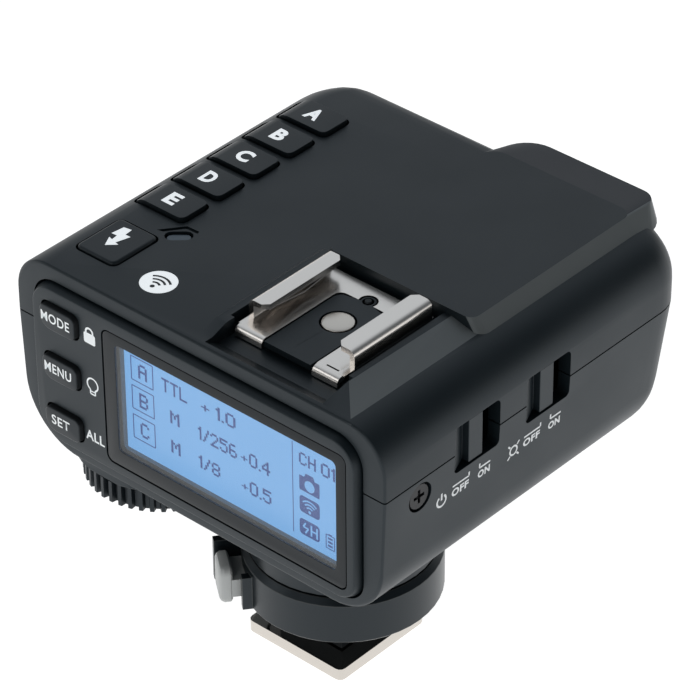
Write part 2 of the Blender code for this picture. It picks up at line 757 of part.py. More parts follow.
def build_shoe():
    side = SHOE_HALF - SHOE_SHEET
    profile = [
        (-LIP_GAP_HALF, SHOE_TOP),
        (-SHOE_HALF + 0.5, SHOE_TOP),
        (-SHOE_HALF, SHOE_TOP - 0.5),
        (-SHOE_HALF, SHOE_BASE_BOTTOM),
        (SHOE_HALF, SHOE_BASE_BOTTOM),
        (SHOE_HALF, SHOE_TOP - 0.5),
        (SHOE_HALF - 0.5, SHOE_TOP),
        (LIP_GAP_HALF, SHOE_TOP),
        (LIP_GAP_HALF, SHOE_TOP - SHOE_SHEET),
        (side, SHOE_TOP - SHOE_SHEET),
        (side, SHOE_BASE_TOP),
        (-side, SHOE_BASE_TOP),
        (-side, SHOE_TOP - SHOE_SHEET),
        (-LIP_GAP_HALF, SHOE_TOP - SHOE_SHEET),
    ]
    bracket = prism("shoe_bracket", profile, SHOE_REAR, SHOE_FRONT, "Y", "nickel")
    trims = [
        box("rear_left_trim", (-12, SHOE_REAR - 1, SHOE_BASE_TOP + 0.01), (0, LIP_REAR, 60)),
        box("rear_right_trim", (0, SHOE_REAR - 1, SHOE_BASE_TOP + 0.01), (12, LIP_REAR, 60)),
        box("front_trim", (-12, LIP_FRONT, SHOE_BASE_TOP + 0.01), (12, SHOE_FRONT + 1, 60)),
    ]
    trims.append(prism("mouth", contact_outline(0.0), 50, 57))
    trims.append(box("slot", (6.3, -10.6, 50), (8.6, -9.9, 57)))
    cut(bracket, *trims)
    for left, right in ((-SHOE_HALF + 0.3, MOUTH_LEFT - 0.1), (MOUTH_RIGHT + 0.1, SHOE_HALF - 0.3)):
        tab_low = (left, SHOE_REAR, TROUGH_FLOOR + 0.2)
        join(bracket, box("tab", tab_low, (right, SHOE_REAR + 0.6, SHOE_BASE_TOP - 0.2)))
    smooth(bracket, 30)
    build_shoe_contacts()
    for side_sign, label in ((-1, "left"), (1, "right")):
        build_shoe_spring(side_sign, label)


def contact_outline(inset):
    """The bracket's cut-out round the contacts, open to the rear, or with an inset its insulator."""
    x, y = SHOE_SIGNAL_PLACE
    left, right, front = MOUTH_LEFT + inset, MOUTH_RIGHT - inset, MOUTH_FRONT - inset
    rear = SHOE_REAR + 0.2 if inset else SHOE_REAR - 1
    bump = arc(x, y, MOUTH_BUMP - inset, 202, -22, 8)
    corner = 1.3
    return (
        [(left, rear)]
        + arc(left + corner, front - corner, corner, 180, 90, 4)
        + bump
        + arc(right - corner, front - corner, corner, 90, 0, 4)
        + [(right, rear)]
    )


def build_shoe_contacts():
    top = SHOE_BASE_TOP - 0.05
    floor = RECESS_FLOOR + 0.15
    insulator = prism("shoe_insulator", contact_outline(GAP), floor, top, "Z", "inner_plastic")
    cut(insulator, bore("hole", SHOE_CENTRE_PLACE, SHOE_CENTRE_RADIUS + GAP, 50, 60, 32))
    cut(insulator, bore("hole", SHOE_SIGNAL_PLACE, SHOE_SIGNAL_RADIUS + GAP, 50, 60, 16))
    for name, place, radius, finish in (
        ("shoe_centre_contact", SHOE_CENTRE_PLACE, SHOE_CENTRE_RADIUS, "nickel"),
        ("shoe_signal_contact", SHOE_SIGNAL_PLACE, SHOE_SIGNAL_RADIUS, "gold"),
    ):
        profile = [(0, floor), (radius, floor), (radius, top), (radius * 0.8, top + 0.2), (0, top + 0.2)]
        smooth(turned(name, profile, place, finish, 28))


def build_shoe_spring(side_sign, label):
    """A bowed leaf under a lip that presses an accessory's foot down."""
    under = SHOE_TOP - SHOE_SHEET - 0.12
    crown = [(-7.2, under), (-5.8, under), (0.0, under - 0.75), (5.8, under), (7.2, under)]
    lower = [(y, z - 0.25) for y, z in reversed(crown)]
    low, high = sorted((side_sign * 7.0, side_sign * 8.8))
    return prism(f"shoe_spring_{label}", crown + lower, low, high, "X", "nickel")


# ---------------------------------------------------------------- foot and collar


def around(angle, along, across):
    """A point in plan, along and across the lever's direction."""
    return (
        along * math.cos(angle) - across * math.sin(angle),
        along * math.sin(angle) + across * math.cos(angle),
    )


def lever_block(name, along, across, low_z, high_z, finish=None):
    corners = [(along[0], across[0]), (along[1], across[0]), (along[1], across[1]), (along[0], across[1])]
    points = [around(LEVER_ANGLE, a, b) for a, b in corners]
    return prism(name, points, low_z, high_z, "Z", finish)


def build_foot():
    low, high = (-FOOT_HALF, FOOT_REAR, 0), (FOOT_HALF, FOOT_FRONT, FOOT_THICKNESS)
    plate = rounded_block("foot_plate", low, high, 1.0, finish="nickel")
    pins = [(0.0, CONTACT_Y, CENTRE_PIN_RADIUS)]
    pins += [(x, y, SIGNAL_PIN_RADIUS) for x, y in SIGNAL_PINS]
    pins.append((*LOCK_PIN_PLACE, LOCK_PIN_RADIUS))

    def holes(low_z, high_z):
        return [bore("hole", (x, y), radius + PIN_CLEARANCE, low_z, high_z, 16) for x, y, radius in pins]

    cut(plate, *holes(-1, 4))
    neck = box(
        "foot_neck",
        (-NECK_HALF, NECK_REAR, FOOT_THICKNESS + GAP),
        (NECK_HALF, FOOT_FRONT - 0.6, COLLAR_BOTTOM + 0.4),
        "inner_plastic",
    )
    join(neck, bore("hub", (0, 0), HUB_RADIUS, HUB_BOTTOM, COLLAR_TOP + 0.2 - GAP, 32))
    cut(neck, *holes(1, 11.0))
    smooth(neck)
    build_pin("centre_pin", (0.0, CONTACT_Y), CENTRE_PIN_RADIUS, -PIN_PROUD)
    for number, place in enumerate(SIGNAL_PINS, 1):
        build_pin(f"signal_pin_{number}", place, SIGNAL_PIN_RADIUS, -PIN_PROUD)
    build_pin("lock_pin", LOCK_PIN_PLACE, LOCK_PIN_RADIUS, 0.2, "steel")


def build_pin(name, place, radius, tip_z, finish="gold"):
    profile = [(0, tip_z), (radius * 0.7, tip_z), (radius, tip_z + 0.3), (radius, 9.6), (0, 9.6)]
    pin = turned(name, profile, place, finish, 16)
    return pivot(smooth(pin), (place[0], place[1], tip_z))


def build_collar():
    drum = turned(
        "collar_drum",
        [
            (HUB_RADIUS + GAP, 12.6),
            (DRUM_RADIUS - 1.6, 12.6),
            (DRUM_RADIUS - 1.6, COLLAR_TOP + GAP),
            (DRUM_RADIUS, COLLAR_TOP + GAP),
            (DRUM_RADIUS, BODY_BOTTOM - GAP),
            (WIRE_HOLE_RADIUS, BODY_BOTTOM - GAP),
            (WIRE_HOLE_RADIUS, COLLAR_TOP + 0.2),
            (HUB_RADIUS + GAP, COLLAR_TOP + 0.2),
        ],
        (0, 0),
        "inner_plastic",
        40,
    )
    smooth(drum)
    ring = turned(
        "lock_ring",
        [
            (HUB_RADIUS + GAP, COLLAR_BOTTOM + 0.8),
            (HUB_RADIUS + 0.8, COLLAR_BOTTOM),
            (COLLAR_RADIUS - 0.5, COLLAR_BOTTOM),
            (COLLAR_RADIUS, COLLAR_BOTTOM + 0.5),
            (COLLAR_RADIUS, COLLAR_TOP - 0.9),
            (COLLAR_RADIUS - 0.9, COLLAR_TOP),
            (DRUM_RADIUS - 1.3, COLLAR_TOP),
            (DRUM_RADIUS - 1.3, 12.3),
            (HUB_RADIUS + GAP, 12.3),
        ],
        (0, 0),
        "inner_plastic",
        48,
    )
    low, high = COLLAR_BOTTOM + 0.3, COLLAR_TOP - 0.4
    root = COLLAR_RADIUS - 1.6
    far = lever_block("far_wall", (root, LEVER_REACH), (-LEVER_HALF, -LEVER_HALF + LEVER_WALL), low, high)
    near_across = (LEVER_HALF - LEVER_WALL, LEVER_HALF)
    near = lever_block("near_wall", (root, NEAR_WALL_REACH), near_across, low, high - NEAR_WALL_DROP)
    join(ring, far, near)
    slot = lever_block("button_slot", (12.8, 17), (-3.1, 3.1), low + 0.9, 12.6)
    cut(ring, slot)
    pivot(smooth(ring), (0, 0, COLLAR_BOTTOM))
    button = lever_block("lock_release", (17.0, 19.0), (-2.9, 2.9), low - 0.2, 14.3, "grey_plastic")
    join(button, lever_block("tongue", (14.3, 17.5), (-2.8, 2.8), low + 1.2, 12.3))
    centre = around(LEVER_ANGLE, 17, 0)
    pivot(button, (centre[0], centre[1], (low + high) / 2))


# ---------------------------------------------------------------- dial and switches


def build_dial():
    land, groove = (0.0, 0.36), (0.5, 0.86)  # shares of a tooth's pitch
    points = []
    for tooth in range(DIAL_TEETH):
        for shares, radius in ((land, DIAL_RADIUS), (groove, DIAL_RADIUS - DIAL_GROOVE)):
            for share in shares:
                turn = 2 * math.pi * (tooth + share) / DIAL_TEETH
                points.append((DIAL_X + radius * math.cos(turn), DIAL_Y + radius * math.sin(turn)))
    dial = prism("select_dial", points, DIAL_BOTTOM, DIAL_TOP, "Z", "key_plastic")
    centre = (DIAL_X, DIAL_Y)
    join(dial, bore("shaft", centre, SHAFT_RADIUS, DIAL_TOP - 1, SHAFT_TOP, 16))
    dish = [(0, DIAL_BOTTOM + 0.7), (8.6, DIAL_BOTTOM + 0.7), (9.4, DIAL_BOTTOM - 1), (0, DIAL_BOTTOM - 1)]
    cut(dial, turned("dish", dish, centre, steps=24))
    pivot(dial, (DIAL_X, DIAL_Y, DIAL_BOTTOM))
    half = 5.5
    encoder_low = (DIAL_X - half, DIAL_Y - half, BODY_BOTTOM + FLOOR_WALL + GAP)
    encoder_high = (DIAL_X + half, DIAL_Y + half, SHAFT_TOP + 1.0)
    encoder = box("dial_encoder", encoder_low, encoder_high, "steel")
    cut(encoder, bore("shaft_bore", centre, SHAFT_RADIUS + 0.06, 22, SHAFT_TOP + GAP, 16))


def build_switches():
    floor_x = BODY_RIGHT - WALL - 0.2
    half_height = SWITCH_HEIGHT / 2 - GAP
    low_z, high_z = SWITCH_MIDDLE_Z - half_height, SWITCH_MIDDLE_Z + half_height
    for name, rear in SWITCH_REAR_EDGES.items():
        outside, start, step = BODY_RIGHT - 0.3, rear + GAP, rear + 3.2
        ramp = [(floor_x - 0.8, start), (outside, start), (outside - 1.2, step), (outside, step + 0.1)]
        ramp += [(outside, rear + SLIDER_LENGTH), (floor_x - 0.8, rear + SLIDER_LENGTH)]
        knob = prism(f"{name}_knob", ramp, low_z, high_z, "Z", "key_plastic")
        stem_low = (SWITCH_BODY_FACE - 1.7, rear + 3.4, SWITCH_MIDDLE_Z - 1.0)
        stem = box("stem", stem_low, (floor_x, rear + 5.0, SWITCH_MIDDLE_Z + 1.0))
        join(knob, stem)
        pivot(knob, (BODY_RIGHT, rear + 3.3, SWITCH_MIDDLE_Z))
        body_low = (SWITCH_BODY_FACE - 6.2, rear - 0.6, SWITCH_MIDDLE_Z - 3.3)
        body_high = (SWITCH_BODY_FACE, rear + SWITCH_WINDOW + 0.6, SWITCH_MIDDLE_Z + 3.1)
        body = box(f"{name}_body", body_low, body_high, "steel")
        slot_low = (SWITCH_BODY_FACE - 2.2, rear + 2.9, SWITCH_MIDDLE_Z - 1.5)
        slot_high = (SWITCH_BODY_FACE + 1.4, rear + 5.6 + SWITCH_TRAVEL, SWITCH_MIDDLE_Z + 1.5)
        cut(body, box("slot", slot_low, slot_high))


# ---------------------------------------------------------------- batteries and door


def build_batteries():
    """Two cells side by side the opposite way round, each between a coil and a plate."""
    right = CELL_LEFT + CELL_LENGTH
    for number, y in enumerate(CELL_YS, 1):
        can_end = (right - 1.0, y, CELL_Z)
        cell = rod(f"battery_cell_{number}", (CELL_LEFT, y, CELL_Z), can_end, CELL_RADIUS, "cell", 24)
        coil_on_left = number == 1
        end = (right - 1.5, right) if coil_on_left else (CELL_LEFT - 1.0, CELL_LEFT + 0.5)
        smooth(join(cell, rod("nub", (end[0], y, CELL_Z), (end[1], y, CELL_Z), 2.7, steps=16)))
        coil_x = CELL_LEFT - GAP if coil_on_left else right - 1.0 + GAP
        build_contact_spring(f"contact_spring_{number}", coil_x, y, -1 if coil_on_left else 1)
        plate_x = right + GAP if coil_on_left else CELL_LEFT - 1.0 - GAP - PLATE_THICKNESS
        plate_low = (plate_x, y - PLATE_HALF, CELL_Z - PLATE_HALF)
        plate_high = (plate_x + PLATE_THICKNESS, y + PLATE_HALF, CELL_Z + PLATE_HALF)
        box(f"contact_plate_{number}", plate_low, plate_high, "steel")


def build_contact_spring(name, start_x, y, direction):
    """A conical coil that presses on the flat end of a cell."""
    turns, per_turn, wire, pitch = 3, 10, 0.35, 1.0
    rings = []
    for i in range(turns * per_turn + 1):
        turn = 2 * math.pi * i / per_turn
        radius = 2.2 + 0.6 * i / per_turn
        along = start_x + direction * (wire + pitch * i / per_turn)
        centre = Vector((along, y + radius * math.cos(turn), CELL_Z + radius * math.sin(turn)))
        outward = Vector((0, math.cos(turn), math.sin(turn)))
        lengthwise = Vector((1, 0, 0))
        section = arc(0, 0, wire, 0, 360, 5)[:-1]
        rings.append([centre + outward * out + lengthwise * over for out, over in section])
    return loft(name, rings, "steel")


def hinge_rod(name, inset, radius, finish=None, steps=16):
    """A bar on the door's hinge axis, shorter than the door by an inset at each end."""
    start, end = (DOOR_LEFT + inset, HINGE_Y, HINGE_Z), (DOOR_RIGHT - inset, HINGE_Y, HINGE_Z)
    return rod(name, start, end, radius, finish, steps)


def build_battery_door():
    low, high = (DOOR_LEFT, DOOR_REAR, BODY_BOTTOM), (DOOR_RIGHT, HINGE_Y, BODY_BOTTOM + DOOR_THICKNESS)
    door = box("battery_door", low, high, "deck_plastic")
    join(door, hinge_rod("barrel", 0.0, HINGE_Z - BODY_BOTTOM, steps=20))
    for left, right in ((DOOR_LEFT + 6.0, DOOR_LEFT + 9.3), (DOOR_RIGHT - 9.3, DOOR_RIGHT - 6.0)):
        cut(door, box("notch", (left, HINGE_Y - 2.6, 10), (right, DOOR_FRONT + 1, 40)))
    cut(door, hinge_rod("bore", -1.0, HINGE_PIN_RADIUS + 0.06))
    pivot(door, (0, HINGE_Y, HINGE_Z))
    hinge_rod("door_hinge_pins", 3.2, HINGE_PIN_RADIUS, "steel", 12)


# ---------------------------------------------------------------- electronics and fasteners


def build_electronics():
    box("main_board", (-44.0, -9.0, 40.9), (12.6, 43.4, 42.1), "board")
    box("top_key_board", (-43.4, -11.0, 48.3), (-30.0, 41.5, 49.3), "board")
    box("rear_key_board", (-40.6, -15.9, 28.6), (-31.8, -14.9, 50.2), "board")
    radio = box("radio_module", (-20.0, 20.0, 42.4), (6.0, 42.0, 45.4), "steel")
    join(radio, box("aerial", (-12.0, 41.5, 42.4), (-2.0, 43.2, 43.2)))
    socket = rounded_block("usb_socket", (-47.0, 3.1, 34.6), (-39.8, 11.9, 37.6), 1.2, "X", finish="steel")
    cut(socket, rounded_block("mouth", (-48, 3.5, 35.0), (-41, 11.5, 37.2), 0.9, "X"))
    jack = rod("sync_jack", (-46.9, JACK_Y, PORT_Z), (-38.6, JACK_Y, PORT_Z), 2.1, "inner_plastic")
    cut(jack, rod("mouth", (-48, JACK_Y, PORT_Z), (-39.6, JACK_Y, PORT_Z), 1.25))
    window_low, window_high = (-6.7, 50.6, 47.9), (6.7, HEAD_FRONT - 0.3, 53.1)
    rounded_block("lamp_window", window_low, window_high, 1.0, "Y", finish="lamp_window")
    lamp = rod("focus_lamp", (0, 43.6, 50.5), (0, 49.6, 50.5), 1.5, "light_pipe")
    join(lamp, rod("collar", (0, 43.6, 50.5), (0, 44.6, 50.5), 1.9))


def build_side_screw(name, head_x, direction):
    """A countersunk screw with a cross in its head."""
    y, z = SCREW_Y, SCREW_Z
    screw = rod(name, (head_x, y, z), (head_x - direction * 0.65, y, z), SCREW_HEAD_RADIUS, "steel", 20)
    shank_end = (head_x - direction * 6, y, z)
    join(screw, rod("shank", (head_x - direction * 0.5, y, z), shank_end, 1.0, steps=12))
    depth = (head_x - direction * 0.45, head_x + direction)
    low_x, high_x = min(depth), max(depth)
    cut(
        screw,
        box("cross_up", (low_x, y - 0.25, z - 1.1), (high_x, y + 0.25, z + 1.1)),
        box("cross_over", (low_x, y - 1.1, z - 0.25), (high_x, y + 1.1, z + 0.25)),
    )
    return smooth(screw)


def main():
    clear_scene()
    build_top_cover()
    build_bottom_cover()
    build_rear_panel()
    build_screen()
    build_rear_keys()
    build_top_keys()
    build_test_key()
    build_light_pipe()
    build_shoe()
    build_foot()
    build_collar()
    build_dial()
    build_switches()
    build_batteries()
    build_battery_door()
    build_electronics()
    build_side_screw("side_screw_right", BODY_RIGHT - 0.35, 1)
    build_side_screw("side_screw_left", BODY_LEFT + 0.35, -1)


main()
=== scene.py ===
"""Looks for the wireless flash trigger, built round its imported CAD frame.

Sizes are in millimetres in the frame's own axes: +X to the right of a person who faces the
screen, +Y away from them, +Z up, from the collar's axis at the underside of the foot plate.
"""

import json
import math

import bmesh
import bpy
from mathutils import Matrix, Vector

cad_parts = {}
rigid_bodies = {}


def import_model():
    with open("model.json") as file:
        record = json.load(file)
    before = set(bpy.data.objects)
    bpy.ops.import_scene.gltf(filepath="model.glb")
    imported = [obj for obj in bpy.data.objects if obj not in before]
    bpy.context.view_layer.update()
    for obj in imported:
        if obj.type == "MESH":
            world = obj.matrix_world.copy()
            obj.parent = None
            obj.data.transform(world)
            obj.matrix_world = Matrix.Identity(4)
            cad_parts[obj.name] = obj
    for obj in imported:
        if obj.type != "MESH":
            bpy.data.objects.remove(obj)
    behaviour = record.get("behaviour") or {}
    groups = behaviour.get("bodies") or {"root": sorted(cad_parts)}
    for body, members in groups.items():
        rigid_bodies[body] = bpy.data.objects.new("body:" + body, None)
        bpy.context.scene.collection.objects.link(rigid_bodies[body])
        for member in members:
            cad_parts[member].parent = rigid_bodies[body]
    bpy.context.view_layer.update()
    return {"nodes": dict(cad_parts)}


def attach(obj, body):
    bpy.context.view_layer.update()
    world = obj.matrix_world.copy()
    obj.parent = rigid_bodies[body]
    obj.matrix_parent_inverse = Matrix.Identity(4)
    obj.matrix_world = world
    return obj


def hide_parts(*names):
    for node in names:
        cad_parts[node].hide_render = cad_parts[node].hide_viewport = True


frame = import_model()

MM = 0.001
GAP = 0.3
PRINT_PROUD = 0.02  # how far printed marks stand off the face they are on
CHAMFER = 0.12  # the small rounding on most visible edges
ABOVE = 60  # a height over the whole part, for cutters that reach up and out of it

# Body, as in the CAD
BODY_LEFT = -47.7
BODY_RIGHT = 24.3
BODY_REAR = -18.2
BODY_FRONT = 50.0
BODY_TOP = 55.5
BODY_BOTTOM = 22.4
WALL = 2.2
FLOOR_WALL = 1.0
PARTING_Z = 44.7
PARTING_GAP = 0.24
CORNER_RADII = (6.5, 7.0, 9.0, 10.3)
RADIUS_PLAN_LEFT = 8.4
RADIUS_PLAN_RIGHT = 6.5
RADIUS_DECK_FRONT = 3.0
RADIUS_FLOOR_FRONT = 5.0
SIDE_DRAFT = 0.045
FRONT_DRAFT = 0.165
BODY_MIDDLE_X = (BODY_LEFT + BODY_RIGHT) / 2
REAR_EDGE = 0.5
REAR_WALL = 1.6
ARC_STEPS = 10

# Shoe surround, head block and shoe
SURROUND_TOP = 56.5
HEAD_TOP = 57.5
HEAD_REAR = 9.6
HEAD_FRONT = 52.4
HEAD_CREST = 46.0  # where the flat top starts to fall towards the front
HEAD_BROW = 57.0
HEAD_FOOT_RIGHT = 19.0
HEAD_LEFT = -10.9
HEAD_RIGHT = 16.3
SHOE_HALF = 10.05
LIP_GAP_HALF = 6.7
SHOE_TOP = 58.6
SHOE_SHEET = 0.9
SHOE_BASE_TOP = 55.6
SHOE_BASE_BOTTOM = 54.7
SHOE_REAR = -11.8
SHOE_FRONT = 8.6
LIP_REAR = -8.4
LIP_FRONT = 8.2
RECESS_HALF = 11.2
RECESS_FLOOR = 54.4
RECESS_REAR = -11.0

# Rear panel, lens and screen
PANEL = (-43.45, 19.65, 25.0, 52.45)
PANEL_RADII = (3.8, 4.3, 3.5, 5.5)
PANEL_FACE = -19.4
RIM_GAP = 0.65
LENS = (-29.0, 18.0, 26.8, 50.3)
LENS_FACE = -19.35
LENS_WINDOW = (-26.6, 16.2, 29.4, 48.6)
SCREEN = (-26.9, 14.4, 28.95, 46.9)
SCREEN_FACE = -17.2
SCREEN_FRAME_FACE = -18.3

# Keys
REAR_KEY_LEFT = -41.15
REAR_KEY_RIGHT = -34.0
REAR_KEY_FACE = -20.2
REAR_KEY_BACK = -16.7
REAR_KEY_SPANS = {"mode_key": (45.75, 49.9), "menu_key": (36.7, 40.85), "set_key": (27.25, 31.4)}
TOP_KEY_LEFT = -43.6
TOP_KEY_RIGHT = -33.6
TOP_KEY_DEPTH = 5.9
TOP_KEY_TOP = 56.25
TEST_KEY = (-41.15, -33.25, -12.3, -2.7)
TEST_KEY_TOP = 55.9
STATUS_LIGHT = (-31.7, -0.2)
STATUS_LIGHT_TURN = 42  # degrees, along the deck's diagonal
TOP_KEY_MIDDLES = {"key_e": 5.4, "key_d": 13.2, "key_c": 21.0, "key_b": 28.8, "key_a": 36.6}

# Right wall
SWITCH_HEIGHT = 8.0
SWITCH_MIDDLE_Z = 45.3
SWITCH_WINDOW = 9.8
SWITCH_REARS = (-3.3, 12.4)
SCREW_PLACE = (-10.6, 41.6)  # along the wall and up it, the same on both walls

# Dial, sockets and battery door
DIAL_PLACE = (-31.2, -5.6)
DIAL_BOSS_RADIUS = 13.4
DIAL_SHAFT_HOLE = 2.3
USB_BOX = (2.8, 12.2, 34.3, 37.9)
JACK_PLACE = (-2.5, 36.1)
JACK_RADIUS = 2.4
DOOR_LEFT, DOOR_RIGHT, DOOR_REAR, DOOR_FRONT = -38.9, 14.3, 15.9, 41.3
HINGE_Y = 39.6
HINGE_Z = 23.8
HINGE_PIN_HOLE = 0.65

# Surfaces: noise scales a metre, the grain's depth in metres, and the black plastics' faint blue sheen
BLOTCH_SCALE = 90
GRAIN_SCALE = 5000
GRAIN_DEPTH = 0.00002
COOL_SHEEN = (0.77, 0.86, 0.93, 1)

# Lock release on the collar; reaches are from the collar's axis
LEVER_ANGLE = 232  # degrees round the collar's axis from +X
LEVER_HALF = 2.9
LEVER_LOW = 7.7
LEVER_HIGH = 14.3
LEVER_RADIUS = 1.3
TONGUE = (14.3, 17.5, 2.8, 9.1, 12.3)  # nearest and furthest reach, half width, bottom, top

# Studio: the floor's half size and height in metres, and where the sky is brightest as a direction
FLOOR_REACH = 4.0
FLOOR_HEIGHT = -0.0006
FLOOR_GLOW = 0.97
BRIGHT_SKY = (-0.60, 0.62, 0.50)

# Where the picture is taken from, in degrees and millimetres
CAMERA_AZIMUTH = 41.938
CAMERA_ELEVATION = 35.511
CAMERA_ROLL = -0.385
CAMERA_LENS = 206.961  # millimetres on a 36 mm wide sensor
CAMERA_AIM = (-14.802, 18.322, 32.963)
CAMERA_DISTANCE = 604.728


# ---------------------------------------------------------------- materials


def shader_of(name):
    made = bpy.data.materials.new(name)
    made.use_nodes = True
    return made, made.node_tree, made.node_tree.nodes["Principled BSDF"]


def noise(tree, scale, detail=3.0):
    """A noise texture in the frame's own coordinates."""
    where = tree.nodes.new("ShaderNodeTexCoord")
    made = tree.nodes.new("ShaderNodeTexNoise")
    made.inputs["Scale"].default_value = scale
    made.inputs["Detail"].default_value = detail
    tree.links.new(where.outputs["Object"], made.inputs["Vector"])
    return made


def vary(tree, factor, low, high):
    """A number that runs from low to high as the factor does over its middle."""
    made = tree.nodes.new("ShaderNodeMapRange")
    made.inputs["From Min"].default_value = 0.3
    made.inputs["From Max"].default_value = 0.7
    made.inputs["To Min"].default_value = low
    made.inputs["To Max"].default_value = high
    tree.links.new(factor, made.inputs["Value"])
    return made.outputs["Result"]


def tint(tree, factor, low, high):
    made = tree.nodes.new("ShaderNodeMix")
    made.data_type = "RGBA"
    made.inputs["A"].default_value = (*low, 1)
    made.inputs["B"].default_value = (*high, 1)
    tree.links.new(factor, made.inputs["Factor"])
    return made.outputs["Result"]


def finish(name, colour, roughness, metallic=0.0, grain=0.0, blotch=0.06, glow=0.0):
    """A moulded or plated finish with a slow change of tone and a fine surface grain."""
    made, tree, shader = shader_of(name)
    slow = noise(tree, BLOTCH_SCALE)
    low = tuple(c * (1 - blotch) for c in colour)
    high = tuple(c * (1 + blotch) for c in colour)
    tree.links.new(tint(tree, slow.outputs["Fac"], low, high), shader.inputs["Base Color"])
    spread = vary(tree, slow.outputs["Fac"], roughness * 0.93, roughness * 1.07)
    tree.links.new(spread, shader.inputs["Roughness"])
    shader.inputs["Metallic"].default_value = metallic
    shader.inputs["Emission Color"].default_value = (*colour, 1)
    shader.inputs["Emission Strength"].default_value = glow
    if not metallic and not glow:
        shader.inputs["Specular Tint"].default_value = COOL_SHEEN
    if grain:
        fine = noise(tree, GRAIN_SCALE, 2.0)
        bump = tree.nodes.new("ShaderNodeBump")
        bump.inputs["Strength"].default_value = grain
        bump.inputs["Distance"].default_value = GRAIN_DEPTH
        tree.links.new(fine.outputs["Fac"], bump.inputs["Height"])
        tree.links.new(bump.outputs["Normal"], shader.inputs["Normal"])
    made.diffuse_color = (*colour, 1)
    return made


def lit(name, colour, strength):
    """A backlit or printed face with its own steady glow."""
    made, tree, shader = shader_of(name)
    slow = noise(tree, 60)
    low = tuple(c * 0.96 for c in colour)
    high = tuple(c * 1.04 for c in colour)
    shader.inputs["Base Color"].default_value = (0.01, 0.01, 0.012, 1)
    shader.inputs["Roughness"].default_value = 0.5
    shader.inputs["Emission Strength"].default_value = strength
    tree.links.new(tint(tree, slow.outputs["Fac"], low, high), shader.inputs["Emission Color"])
    made.diffuse_color = (*colour, 1)
    return made


def clear_finish(name):
    made = finish(name, (0.8, 0.82, 0.84), 0.1, blotch=0.01)
    made.node_tree.nodes["Principled BSDF"].inputs["Alpha"].default_value = 0.05
    made.diffuse_color = (0.8, 0.82, 0.84, 0.1)
    return made


DECK = finish("deck_satin", (0.0045, 0.0085, 0.0110), 0.42, grain=0.25)
# Much lighter than the deck: a painted highlight for light falling on the slopes right of the shoe and
# head
FLANK_PAINTED_HIGHLIGHT = finish("flank_satin", (0.115, 0.125, 0.125), 0.42, grain=0.25)
PANEL_SATIN = finish("panel_satin", (0.0045, 0.0085, 0.0110), 0.40, grain=0.2)
KEY = finish("key_satin", (0.0030, 0.0060, 0.0080), 0.42, grain=0.2)
REAR_KEY = finish("rear_key_satin", (0.0020, 0.0035, 0.0050), 0.36, grain=0.2)
SIDE = finish("side_satin", (0.0060, 0.0105, 0.0135), 0.42, grain=0.25)
INNER = finish("nylon_dark", (0.0040, 0.0050, 0.0060), 0.5, grain=0.3)
COLLAR = finish("collar_nylon", (0.0045, 0.0075, 0.0095), 0.32, grain=0.2)
# Lighter than the collar: a painted highlight on the lock ring's rounded edges
COLLAR_EDGE_PAINTED_HIGHLIGHT = finish("collar_edge", (0.030, 0.032, 0.031), 0.32, grain=0.2)
NICKEL = finish("nickel_plate", (0.82, 0.78, 0.74), 0.24, 1.0, blotch=0.02)
CONTACT = finish("contact_plate", (0.66, 0.62, 0.57), 0.3, 1.0, grain=0.1, blotch=0.03)
FOOT = finish("foot_mirror", (0.66, 0.62, 0.57), 0.10, 1.0, blotch=0.02)
STEEL = finish("steel_satin", (0.45, 0.45, 0.45), 0.35, 1.0, grain=0.1)
SCREW = finish("screw_black", (0.012, 0.013, 0.015), 0.4, 0.3, grain=0.1)
GOLD = finish("gold_flash", (0.75, 0.58, 0.26), 0.25, 1.0, grain=0.05)
GREY = finish("release_grey", (0.46, 0.47, 0.46), 0.42, grain=0.2)
# The screen frame's own grey, with a little painted glow on top
FRAME_GREY_PAINTED_GLOW = finish("frame_grey", (0.105, 0.112, 0.114), 0.55, grain=0.1, glow=0.25)
LENS_BORDER = finish("lens_border", (0.0020, 0.0025, 0.0030), 0.22, blotch=0.02)
LENS_BORDER.node_tree.nodes["Principled BSDF"].inputs["Specular IOR Level"].default_value = 0.36
CLEAR = clear_finish("lens_clear")
SCREEN_LIGHT = lit("screen_light", (0.165, 0.395, 0.735), 1.0)
SCREEN_INK = lit("screen_ink", (0.024, 0.060, 0.230), 1.0)
LIGHT_PIPE = finish("light_pipe", (0.085, 0.115, 0.145), 0.25, blotch=0.02)
LAMP_RED = finish("lamp_red", (0.10, 0.005, 0.006), 0.12, blotch=0.05)
BOARD = finish("board_green", (0.02, 0.12, 0.05), 0.45, grain=0.2)
CELL = finish("cell_sleeve", (0.10, 0.11, 0.13), 0.3, 0.2)
# Near black: a painted shade on the rear keys' side walls
KEY_SIDE_PAINTED_SHADE = finish("key_side", (0.0010, 0.0010, 0.0012), 0.75, grain=0.2)
# Darker than the deck: a painted shade on the head's front slope
BROW_PAINTED_SHADE = finish("brow_satin", (0.0035, 0.0030, 0.0075), 0.42, grain=0.25)
# The white prints are real print colour with a painted glow on top, a stronger one on the deck
PAINTED_GLOW_PRINT = finish("white_print", (0.72, 0.75, 0.76), 0.5, blotch=0.02, glow=0.25)
DECK_PRINT_PAINTED_GLOW = finish("deck_print", (0.74, 0.77, 0.79), 0.5, blotch=0.02, glow=0.72)
INK = finish("dark_print", (0.02, 0.022, 0.025), 0.5, blotch=0.02)
WALL_PRINT = finish("wall_print", (0.80, 0.82, 0.83), 0.5, blotch=0.02)


# ---------------------------------------------------------------- shapes


